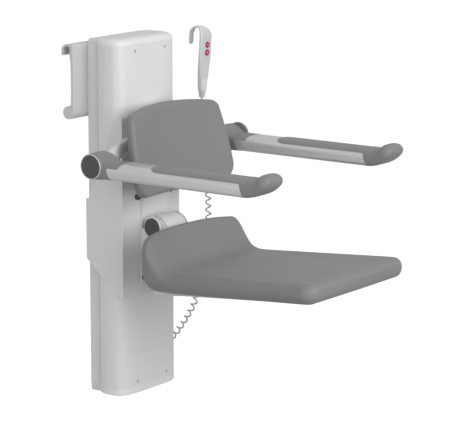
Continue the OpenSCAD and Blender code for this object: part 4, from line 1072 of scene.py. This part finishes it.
def seat_rings():
    """Seat pad: flat sections, one behind the other. Over the flat part at the back stands a lip that
    runs out in a hollow slope, one less the share of the slope to the power 1.25, to the power 3.6.
    The lip arches down at its ends with the cube of x, the rear and front ends bow with its square,
    and the top is crowned. The underside bends up behind in a quarter circle."""
    middle = np.concatenate([np.linspace(32, 150, 60), np.linspace(156, SEAT_LEN - 60, 42)])
    s = stations((30, 16), middle, (58, 22), SEAT_LEN)
    t, ahead = s / SEAT_LEN, SEAT_LEN - s
    lip = (1 - np.clip((s - LIP_FLAT) / LIP_SLOPE, 0, 1) ** LIP_HOLLOW) ** LIP_POWER
    hw = (SEAT_BACK_HALF + (SEAT_FRONT_HALF - SEAT_BACK_HALF) * t - draw_in(ahead, SEAT_CORNER)
          - draw_in(s, SEAT_REAR_CORNER))
    h = (SEAT_T + LIP_H * lip) / 2
    ht = h - draw_in(s, SEAT_REAR_ROUND) - draw_in(ahead + 1, SEAT_T / 2)
    x, p = pad_ring(hw, ht, np.minimum(SEAT_ROUND, ht), 14, 40)
    u, s, t, ahead, h, lip = np.abs(x / hw[:, None]), *(v[:, None] for v in (s, t, ahead, h, lip))
    y = SEAT_REAR + s + SEAT_REAR_BOW * u ** 2 * (1 - t) ** 2 - SEAT_FRONT_BOW * u ** 2 * t ** 2
    crown = SEAT_CROWN * (1 - u ** 2) * np.minimum(1, s / 40) * np.minimum(1, ahead / 60)
    lift = np.where(p > 0, crown - LIP_ARCH * lip * u ** 3, draw_in(s, SEAT_BEND))
    return points(x, -y, SEAT_FOOT_Z + SEAT_RISE * (y - SEAT_REAR) + h + p + lift)


class SHOWERSEAT_OT_seat(PieceOperator, bpy.types.Operator):
    """Adds the moulded seat pad with its raised lip at the back"""

    bl_idname = "shower_seat.seat"
    bl_label = "Seat pad"

    def build(self, context, finish, sizes):
        pad = piece("seat_cushion", [skin(seat_rings())], finish["soft grey skin"], "seat", ["seat_pad"],
                    sharp=80)


def backrest_rings():
    """Backrest pad: flat sections, one over the other, that narrow upwards with the square of the
    height. They lean forward at the foot and curve forward to the sides with the square of x. The
    top edge bows up and the foot down, by a share that falls with the square of x."""
    d = stations((48, 20), np.linspace(51, BACK_H - 22, 30), (20, 20), BACK_H)
    t, up = d / BACK_H, BACK_H - d
    hw = (BACK_HALF + (BACK_TOP_HALF - BACK_HALF) * t ** 2 - draw_in(d, BACK_LOW_CORNER)
          - draw_in(up, BACK_CORNER))
    ht = BACK_T / 2 - draw_in(np.minimum(d, up) + 0.4, BACK_ROUND)
    x, p = pad_ring(hw, ht, np.full_like(hw, BACK_ROUND), 12, 48)
    d, t = d[:, None], t[:, None]
    bulge = BACK_CROWN * t ** 2 - BACK_SINK * (1 - t) ** 2
    z = BACK_Z - BACK_H / 2 + d + bulge * (1 - (x / BACK_TOP_HALF) ** 2)
    depth = BACK_TOP_Y + BACK_LEAN * (BACK_Z + BACK_H / 2 - z) + BACK_CURVE * (x / BACK_HALF) ** 2
    return points(x, p - depth, z)


class SHOWERSEAT_OT_backrest(PieceOperator, bpy.types.Operator):
    """Adds the curved, moulded backrest pad and the two dark studs on the carriage under it"""

    bl_idname = "shower_seat.backrest"
    bl_label = "Backrest pad"

    def build(self, context, finish, sizes):
        pad = piece("backrest_cushion", [skin(backrest_rings())], finish["soft grey skin"], "carriage",
                    ["backrest_pad"], sharp=80)
        studs = [lathe(STUD_DOME, (x, -SHELL_Y, STUD_Z), (0, -1, 0), 40) for x in (-STUD_X, STUD_X)]
        piece("carriage_studs", studs, finish["disc plastic"], "carriage", sharp=60)


def under_seat(y, drop=0.0):
    """Side point of the seat's frame at a depth: it rises to the front as the pad's underside does."""
    return -y, SEAT_FOOT_Z + SEAT_RISE * (y - SEAT_REAR) - PAN_DROP - drop


def bracket_outlines():
    """Side outlines of the hinge bracket. Both follow a quarter circle from the drum's top down to the
    rear of the pad: a plate's, which has a foot along the pad, and that of the web between the plates."""
    rear = SEAT_REAR - 1
    bend = rear - HINGE_Y
    centre = (-HINGE_Y, HINGE_Z + DRUM_R - bend)
    hood = arc(*centre, bend, 90, 180, 40)
    lining = arc(*centre, bend - PLATE_T, 180, 90, 40)
    side = np.concatenate([[(-HINGE_Y, HINGE_Z)], hood, [
        under_seat(rear), under_seat(PLATE_FRONT), under_seat(PLATE_FRONT, PLATE_NOSE),
        (-rear - 20, under_seat(rear, PLATE_DEEP)[1]), (-PLATE_HEEL, under_seat(rear, PLATE_HEEL_LOW)[1]),
        (-PLATE_HEEL, PLATE_HEEL_TOP),
        (-HINGE_Y + 0.7 * DRUM_R, HINGE_Z - 0.7 * DRUM_R)]])
    foot = under_seat(rear, -2)
    return side, np.concatenate([hood, [foot, (foot[0] + PLATE_T, foot[1])], lining])


class SHOWERSEAT_OT_seat_frame(PieceOperator, bpy.types.Operator):
    """Adds the hinge drum with its side plates and the pan under the seat"""

    bl_idname = "shower_seat.seat_frame"
    bl_label = "Seat frame"

    def build(self, context, finish, sizes):
        side, web = bracket_outlines()
        half, length = DRUM_HALF, 2 * DRUM_HALF
        drum = [(0, 0), (DRUM_R - 1.4, 0), (DRUM_R - 0.4, 0.4), (DRUM_R, 1.4), (DRUM_R, length - 1.4),
                (DRUM_R - 0.4, length - 0.4), (DRUM_R - 1.4, length), (0, length)]
        barrel = lathe(drum, (-half, -HINGE_Y, HINGE_Z), (1, 0, 0))
        piece("seat_bracket_drum", [barrel], finish["white enamel"], "seat", ["seat_bracket"],
              sharp=50)
        flats = [plate(side, -half, -half + PLATE_T), plate(side, half - PLATE_T, half),
                 plate(web, -half + 0.2, half - 0.2)]
        piece("seat_bracket_plates", flats, finish["white enamel"], "seat", ["seat_bracket"],
              bevel=0.8)
        rear, front = PAN_ENDS
        sheet = [under_seat(rear), under_seat(front), under_seat(front, -5), under_seat(rear, -5)]
        rim = [under_seat(rear, 10), under_seat(front, 5), under_seat(front, -1), under_seat(rear, -1)]
        pan = [plate(sheet, -PAN_HALF, PAN_HALF), plate(rim, -PAN_HALF, 5 - PAN_HALF),
               plate(rim, PAN_HALF - 5, PAN_HALF)]
        piece("seat_pan_sheet", pan, finish["grey enamel"], "seat", ["seat_pan"], bevel=0.6)


def arm_section(f, wide=1.0, up=ARM_UP, low=ARM_LOW, soft=0.0):
    """Section of the armrest in X and height: an oval of power 3 above and one of power 5 below.
    Where it is soft, from 0 to 1, both halves turn towards a plain oval."""
    s = np.sin(f)
    over = s >= 0
    power = np.where(over, 2 / 3 + soft / 3, 2 / 5 + 0.45 * soft)
    return wide * ARM_HALF * spow(np.cos(f), power), np.where(over, up, -low) * np.abs(s) ** power


def arm_crown(x):
    """Height of the armrest's outline over its middle, at a sideways place: the upper oval of power 3
    solved for its height."""
    return ARM_UP * np.maximum(0, 1 - (np.abs(x) / ARM_HALF) ** 3) ** (1 / 3)


def hub_rings():
    """Pivot cover: a drum that sinks in a saddle to the armrest's section. Every section is an oval
    whose powers and middle height run from the drum's to the armrest's by half a cosine wave. The
    front edge runs down the sides in a parabola and steps forward, a little under the crown, to a
    lobe that lies on top. Two rims and a pocket close the front."""
    step = np.arcsin((LOBE_Z / ARM_UP) ** 1.5)
    near = step + np.array([-0.05, -0.012, 0.012, 0.05, 0.1])
    f = np.sort(np.concatenate([around(96)[0], near, np.pi - near]))[None]
    end_z = arm_section(f)[1]
    side = COVER_AHEAD + COVER_SWEEP * np.clip((LOBE_Z - end_z) / (LOBE_Z + ARM_LOW), 0, 1) ** 2
    corner = 4 * np.clip(1 - (end_z - LOBE_Z) / 3, 0, 1) ** 2
    edge = np.where(end_z > LOBE_Z, LOBE_AHEAD - corner, side)
    rear = -HUB_R * np.cos(np.radians(np.linspace(6, 90, 18)))[:, None] + 0 * f
    d = np.concatenate([rear, np.linspace(0, 1, 40)[1:, None] * edge])
    drop, rise = ease((d - SADDLE_START) / SADDLE_LEN), ease(d / COVER_AHEAD)
    half = np.sqrt(np.maximum(0, HUB_R ** 2 - np.minimum(d, 0) ** 2))
    top = ARM_Z + half - (ARM_Z + HUB_R - ARM_MID - ARM_UP - HUB_PROUD) * drop
    low = ARM_Z - half + (ARM_MID - ARM_LOW - HUB_PROUD - ARM_Z + HUB_R) * rise
    mid = top + (low - top) * (0.5 + (ARM_UP / (ARM_UP + ARM_LOW) - 0.5) * rise)
    c, s = np.cos(f), np.sin(f)
    q = 2 / np.where(s < 0, 7 - 2 * rise, np.where(c > 0, 3.6 - 0.6 * rise, 2.9 + 0.1 * rise))
    z = mid + np.where(s >= 0, top - mid, mid - low) * spow(s, q)
    x = (ARM_HALF - 0.6 + 1.2 * rise) * spow(c, q)
    outside = points(ARM_X + x, -ARM_Y - d, z)
    x, z = arm_section(f, 0.995, ARM_UP - 0.1, ARM_LOW - 0.1)
    rim = [points(ARM_X + x, -ARM_Y - edge + back, ARM_MID + z) for back in (0.0, 4.0)]
    pocket = points(ARM_X + x * 0.97, -ARM_Y - POCKET_AHEAD, ARM_MID + z * 0.97)
    return np.concatenate([outside, *rim, pocket])


class SHOWERSEAT_OT_hubs(PieceOperator, bpy.types.Operator):
    """Adds the armrests' pivot covers and the discs on their ends"""

    bl_idname = "shower_seat.hubs"
    bl_label = "Armrest pivots"

    def build(self, context, finish, sizes):
        cover = skin(hub_rings(), "point")
        for side, word in SIDES:
            body, end = word + "_armrest", side * (ARM_X + ARM_HALF)
            shells = [mirrored(cover, side), lathe(PLUG, (end - side * 8, -ARM_Y, ARM_Z), (side, 0, 0))]
            piece(word + "_pivot_cover", shells, finish["hub plastic"], body, [word + "_hub_cover"],
                  sharp=45)
            disc_pair(word + "_pivot", (end, -ARM_Y, ARM_Z), (side, 0, 0), DISC_R, RING_R - DISC_R, finish,
                      body, word + "_hub_disc")


def profile_rings():
    """Armrest profile: its section carried straight forward to an end cut off at a slope."""
    x, z = arm_section(around(128))
    share = np.linspace(0, 1, 25)[:, None]
    y = (ARM_Y + 30) * (1 - share) + (ARM_FRONT - CUT_SLOPE * z) * share
    return points(ARM_X + x, -y, ARM_MID + z)


class SHOWERSEAT_OT_arm_profiles(PieceOperator, bpy.types.Operator):
    """Adds the anodised armrest profiles"""

    bl_idname = "shower_seat.arm_profiles"
    bl_label = "Armrest profiles"

    def build(self, context, finish, sizes):
        profile = skin(profile_rings())
        for side, word in SIDES:
            piece(word + "_armrest_extrusion", [mirrored(profile, side)], finish["arm aluminium"],
                  word + "_armrest", [word + "_arm_profile"], sharp=50)


def arm_pad_rings():
    """Pad on the armrest: follows the crown, swells over it by the root of the sine across, rounds off
    at its back end as half an oval, and is cut off in front at the profile's slope."""
    half, back = ARM_HALF - 6, ARM_FRONT - PAD_LEN
    b = np.radians(np.linspace(3, 90, 20))
    reach = np.concatenate([back + half * 0.8 * (1 - np.cos(b)),
                            np.linspace(back + half, ARM_FRONT + 6, 26)])[:, None]
    wide = np.concatenate([np.sin(b) ** 0.8, np.ones(26)])[:, None]
    a = np.radians(np.linspace(0, 180, 33))[None]
    x = wide * half * np.cos(a)
    swell = PAD_T * np.minimum(1, np.sqrt(wide * 1.02)) * np.sin(a) ** 0.5
    crown = arm_crown(x)
    cut = CUT_SLOPE * ease((reach - ARM_FRONT + 60) / 60)
    upper, lower = (points(ARM_X + x, -reach + cut * crown, ARM_MID + crown + over)
                    for over in (swell, -0.8))
    return np.concatenate([upper, lower[:, ::-1]], 1)


def arm_tip_rings():
    """Tip of the armrest: the section goes straight, bends up through an arc, and ends in a nose that
    is rounded as a quarter circle. Its crown starts as high as the pad and sinks by half a cosine wave
    to the section's own height. On the way the section narrows and thins evenly, and gets rounder."""
    arc_len = TIP_R * TIP_BEND
    neck = TIP_STRAIGHT + arc_len + TIP_TAIL
    total = neck + TIP_NOSE
    nose = neck + TIP_NOSE * np.sin(np.linspace(0, np.pi / 2, 22))[1:-1]
    s = np.concatenate([np.linspace(0, neck, 40), nose])[:, None]
    turn = TIP_BEND * np.clip((s - TIP_STRAIGHT) / arc_len, 0, 1)
    past = np.maximum(0, s - TIP_STRAIGHT - arc_len)
    ahead = np.where(s < TIP_STRAIGHT, s, TIP_STRAIGHT + TIP_R * np.sin(turn) + past * np.cos(turn))
    rise = TIP_R * (1 - np.cos(turn)) + past * np.sin(turn)
    shrink = np.sqrt(np.maximum(0, 1 - np.maximum(0, (s - neck) / TIP_NOSE) ** 2))
    k = s / total
    x, z = arm_section(around(96), soft=TIP_SOFT * ease(k * 1.5 - 0.15))
    raised = (PAD_T + 0.3) * (1 - ease(k)) * np.clip(z / ARM_UP, 0, 1) ** 0.5
    z = (z * (1 - np.where(z > 0, *TIP_THIN) * k) + raised) * shrink
    x = x * (1 - TIP_NARROW * k) * (TIP_BLUNT + (1 - TIP_BLUNT) * shrink)
    cut = np.where(s < TIP_STRAIGHT, CUT_SLOPE * z * (1 - s / TIP_STRAIGHT), 0)
    return points(ARM_X + x, z * np.sin(turn) + cut - (ARM_FRONT + 0.3 + ahead),
                  ARM_MID + rise + z * np.cos(turn))


class SHOWERSEAT_OT_arm_pads(PieceOperator, bpy.types.Operator):
    """Adds the soft pads and the upturned tips of the armrests"""

    bl_idname = "shower_seat.arm_pads"
    bl_label = "Armrest pads"

    def build(self, context, finish, sizes):
        pad, tip = skin(arm_pad_rings(), "point"), skin(arm_tip_rings(), "flat", "point")
        for side, word in SIDES:
            for form, shell in (("pad", pad), ("tip", tip)):
                made = piece(f"{word}_armrest_soft_{form}", [mirrored(shell, side)],
                             finish["soft grey skin"], word + "_armrest", [f"{word}_arm_{form}"],
                             sharp=60)


def between(a, b, share):
    """Eased passage from one value to another as a share goes from 0 to 1."""
    return a + (b - a) * ease(share)


def hand_half(z):
    """Half width and half thickness of the grip, which widens and thins upwards."""
    return (HAND_W / 2 * between(HAND_WAIST, 1, (z + 8) / (HAND_LEN - 40)),
            between(HAND_T, BLADE_T, (z - 20) / (HAND_LEN - 50)) / 2)


def hand_rings():
    """Hand control: the grip's sections, ovals of power 3, go straight up, then half round a circle
    over backwards, where they narrow to the hook's strap, then down to its rounded end."""
    z = np.concatenate([[0, 0.6, 1.5, 3.5], np.linspace(6, HAND_LEN, 40)])[:, None]
    hw, ht = hand_half(z)
    foot = 1 - 0.2 * np.maximum(0, 1 - z / 6) ** 2
    grip = (ht, z, 0 * z, hw * foot, ht * (0.5 + 0.5 * foot))
    a = np.radians(np.linspace(0, 180, 61))[1:, None]
    bend = (BLADE_T / 2 + HOOK_R * (1 - np.cos(a)), HAND_LEN + HOOK_R * np.sin(a), a,
            between(HAND_W, STRAP_W, np.degrees(a) / WAIST_TURN) / 2,
            between(BLADE_T, STRAP_T, np.degrees(a) / 100) / 2)
    end = STRAP_W / 2
    d = np.concatenate([np.linspace(3, STRAP_DROP - end, 6)[:-1],
                        STRAP_DROP - end * (1 - np.sin(np.linspace(0, 1.5, 16)))])[:, None]
    round_end = np.sqrt(1 - np.clip((d - STRAP_DROP + end) / end, 0, 1) ** 2)
    thin = np.sqrt(1 - 0.96 * np.clip((d - STRAP_DROP + 2) / 2, 0, 1) ** 2)
    hook = (BLADE_T / 2 + 2 * HOOK_R + 0 * d, HAND_LEN - d, np.pi + 0 * d, end * round_end,
            STRAP_T / 2 * thin)
    mid, z, turn, hw, ht = (np.concatenate(column) for column in zip(grip, bend, hook))
    f = around(72)
    v = ht * spow(np.sin(f), 2 / 3)
    return points(hw * spow(np.cos(f), 2 / 3), mid + v * np.cos(turn), z - v * np.sin(turn))


def hand_front(x, z, hw):
    """Level of the grip's front at a sideways place, a height and a half width: the section's oval of
    power 3 solved for its depth."""
    ht = hand_half(z)[1]
    return ht - ht * np.maximum(0, 1 - np.minimum(1, np.abs(x) / hw) ** 3) ** (1 / 3)


def panel_rings():
    """Thin panel on the grip's front, with straight ends and small round corners. It follows the front's
    curve and, over the top, the first part of the bend, as a strip with a back just under the surface."""
    bend_r = HOOK_R + BLADE_T / 2
    end = HAND_LEN + PANEL_TURN * bend_r
    run = (PANEL_LOW + (end - PANEL_LOW) * (1 - np.cos(np.linspace(0, np.pi, 71))) / 2)[:, None]
    z, turn = np.minimum(run, HAND_LEN), np.maximum(0, run - HAND_LEN) / bend_r
    hw = hand_half(z)[0] - (HAND_W - STRAP_W) / 2 * ease(np.degrees(turn) / WAIST_TURN)
    near = np.minimum(1, np.minimum(run - PANEL_LOW, end - run) / 3)
    half = hw - PANEL_MARGIN - 3 * (1 - np.sqrt(1 - (1 - near) ** 2))
    x = half * np.linspace(-1, 1, 33)[None]
    edge = np.minimum(1, (half - np.abs(x)) / 0.8) ** 0.5
    faces = []
    for level in (-0.3 - 0.5 * edge, 0.8 + 0 * edge):
        depth = hand_front(x, z, hw) + level
        reach = bend_r - depth
        y = np.where(turn > 0, bend_r - reach * np.cos(turn), depth)
        faces.append(points(x, y, z + reach * np.sin(turn)))
    return np.concatenate([faces[0], faces[1][:, ::-1]], 1)


class SHOWERSEAT_OT_hand_control(PieceOperator, bpy.types.Operator):
    """Adds the hand control's shell and the panel around its buttons"""

    bl_idname = "shower_seat.hand_control"
    bl_label = "Hand control"

    def build(self, context, finish, sizes):
        piece("hand_control_shell", [handed(skin(hand_rings()))], finish["hand plastic"], "column",
              ["hand_shell"], sharp=60)
        piece("hand_control_panel", [handed(skin(panel_rings()))], finish["membrane"], "column",
              ["hand_panel"], sharp=50)


class SHOWERSEAT_OT_buttons(PieceOperator, bpy.types.Operator):
    """Adds the two red buttons with their arrows"""

    bl_idname = "shower_seat.buttons"
    bl_label = "Buttons"

    def build(self, context, finish, sizes):
        x, up = np.array(ARROW).T
        depths = np.array([-BUTTON_FACE - 0.02, -BUTTON_FACE + 0.9])[:, None]
        for word, z, turn in (("up", BUTTON_Z["up"], 1), ("down", BUTTON_Z["down"], -1)):
            body = f"button_{word}_key"
            cap = lathe(BUTTON_CAP, (0, -BUTTON_FACE, z), (0, 1, 0), 64)
            piece(f"button_{word}_cap", [handed(cap)], finish["button rubber"], body, [f"button_{word}"])
            arrow = skin(points(x, depths, z + turn * up))
            piece(f"button_{word}_arrow", [handed(arrow)], finish["arrow print"], body,
                  bevel=0.1)


CAD_FINISHES = {
    "inner aluminium": ["top_bulkhead", "bottom_bulkhead", "carriage_frame", "left_hub_barrel",
                        "right_hub_barrel"],
    "ground steel": ["guide_rods", "actuator_piston", "hinge_pin"],
    "zinc plate": ["hanger_bolts", "piston_nut", "pan_screws"],
    "drive enamel": ["actuator_body"],
    "box plastic": ["control_box"],
    "bush plastic": ["slide_bushes", "hinge_bushes", "left_hub_bushes", "right_hub_bushes"],
    "stop rubber": ["seat_stop"],
    "grey enamel": ["backrest_mount"],
}


class SHOWERSEAT_OT_inner_works(PieceOperator, bpy.types.Operator):
    """Gives the working parts inside the column and the pivots their finishes"""

    bl_idname = "shower_seat.inner_works"
    bl_label = "Inner works"

    def build(self, context, finish, sizes):
        for name, nodes in CAD_FINISHES.items():
            for node in nodes:
                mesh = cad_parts[node].data
                mesh.materials.clear()
                mesh.materials.append(finish[name])


def soft_box(name, at, size, power):
    """A square lamp at a point in metres, turned to face the seat."""
    data = bpy.data.lights.new(name, "AREA")
    data.shape, data.size, data.energy = "SQUARE", size, power
    light = bpy.data.objects.new(name, data)
    bpy.context.scene.collection.objects.link(light)
    light.location = at
    light.rotation_mode = "QUATERNION"
    light.rotation_quaternion = (Vector(LIGHT_AIM) - Vector(at)).to_track_quat("-Z", "Y")


def sky():
    """White surroundings that are a little dimmer below than above."""
    world = bpy.data.worlds.new("studio")
    world.use_nodes = True
    nodes, links = world.node_tree.nodes, world.node_tree.links
    place = nodes.new("ShaderNodeTexCoord")
    split = nodes.new("ShaderNodeSeparateXYZ")
    level = nodes.new("ShaderNodeMapRange")
    light = nodes["Background"].inputs
    light["Color"].default_value = (1.0, 1.0, 1.0, 1.0)
    for key, number in SKY:
        level.inputs[key].default_value = number
    links.new(place.outputs["Generated"], split.inputs["Vector"])
    links.new(split.outputs["Z"], level.inputs["Value"])
    links.new(level.outputs["Result"], light["Strength"])
    return world


class SHOWERSEAT_OT_stage(PieceOperator, bpy.types.Operator):
    """Adds the pale floor and the soft studio light"""

    bl_idname = "shower_seat.stage"
    bl_label = "Floor and light"

    def build(self, context, finish, sizes):
        scene = context.scene
        scene.view_settings.view_transform = "Standard"
        half, level = FLOOR_HALF, FOOT - sizes.floor_drop
        mesh = bpy.data.meshes.new("floor")
        corners = [(-half, -half, level), (half, -half, level), (half, half, level), (-half, half, level)]
        mesh.from_pydata(corners, [], [(0, 1, 2, 3)])
        mesh.materials.append(studio_floor())
        floor = bpy.data.objects.new("floor", mesh)
        scene.collection.objects.link(floor)
        floor.visible_diffuse = False
        floor.visible_glossy = False
        scene.world = sky()
        for light in LIGHTS:
            soft_box(*light)


class SHOWERSEAT_PT_panel(bpy.types.Panel):
    """Lists the seat's settings and its pieces"""

    bl_idname = "SHOWERSEAT_PT_panel"
    bl_label = "Shower Seat"
    bl_space_type = "VIEW_3D"
    bl_region_type = "UI"
    bl_category = "Shower Seat"

    def draw(self, context):
        layout = self.layout
        for group in (context.scene.shower_seat_sizes, context.scene.shower_seat_colours):
            box = layout.box()
            for name in type(group).__annotations__:
                box.prop(group, name)
        for operator in OPERATORS:
            layout.operator(operator.bl_idname)


OPERATORS = (
    SHOWERSEAT_OT_camera,
    SHOWERSEAT_OT_cord,
    SHOWERSEAT_OT_column,
    SHOWERSEAT_OT_hanger,
    SHOWERSEAT_OT_carriage,
    SHOWERSEAT_OT_spine,
    SHOWERSEAT_OT_horns,
    SHOWERSEAT_OT_seat_frame,
    SHOWERSEAT_OT_seat,
    SHOWERSEAT_OT_backrest,
    SHOWERSEAT_OT_arm_profiles,
    SHOWERSEAT_OT_hubs,
    SHOWERSEAT_OT_arm_pads,
    SHOWERSEAT_OT_hand_control,
    SHOWERSEAT_OT_buttons,
    SHOWERSEAT_OT_inner_works,
    SHOWERSEAT_OT_stage,
)
CLASSES = (SHOWERSEAT_PG_colours, SHOWERSEAT_PG_sizes, *OPERATORS, SHOWERSEAT_PT_panel)


def register():
    """Registers the classes and ties the settings to the scene."""
    for cls in CLASSES:
        bpy.utils.register_class(cls)
    bpy.types.Scene.shower_seat_colours = PointerProperty(type=SHOWERSEAT_PG_colours)
    bpy.types.Scene.shower_seat_sizes = PointerProperty(type=SHOWERSEAT_PG_sizes)


def unregister():
    """Takes the settings and the classes away again."""
    del bpy.types.Scene.shower_seat_sizes
    del bpy.types.Scene.shower_seat_colours
    for cls in reversed(CLASSES):
        bpy.utils.unregister_class(cls)


def main():
    """Builds the whole model."""
    register()
    for operator in OPERATORS:
        group, call = operator.bl_idname.split(".")
        getattr(getattr(bpy.ops, group), call)()


if __name__ == "__main__":
    main()
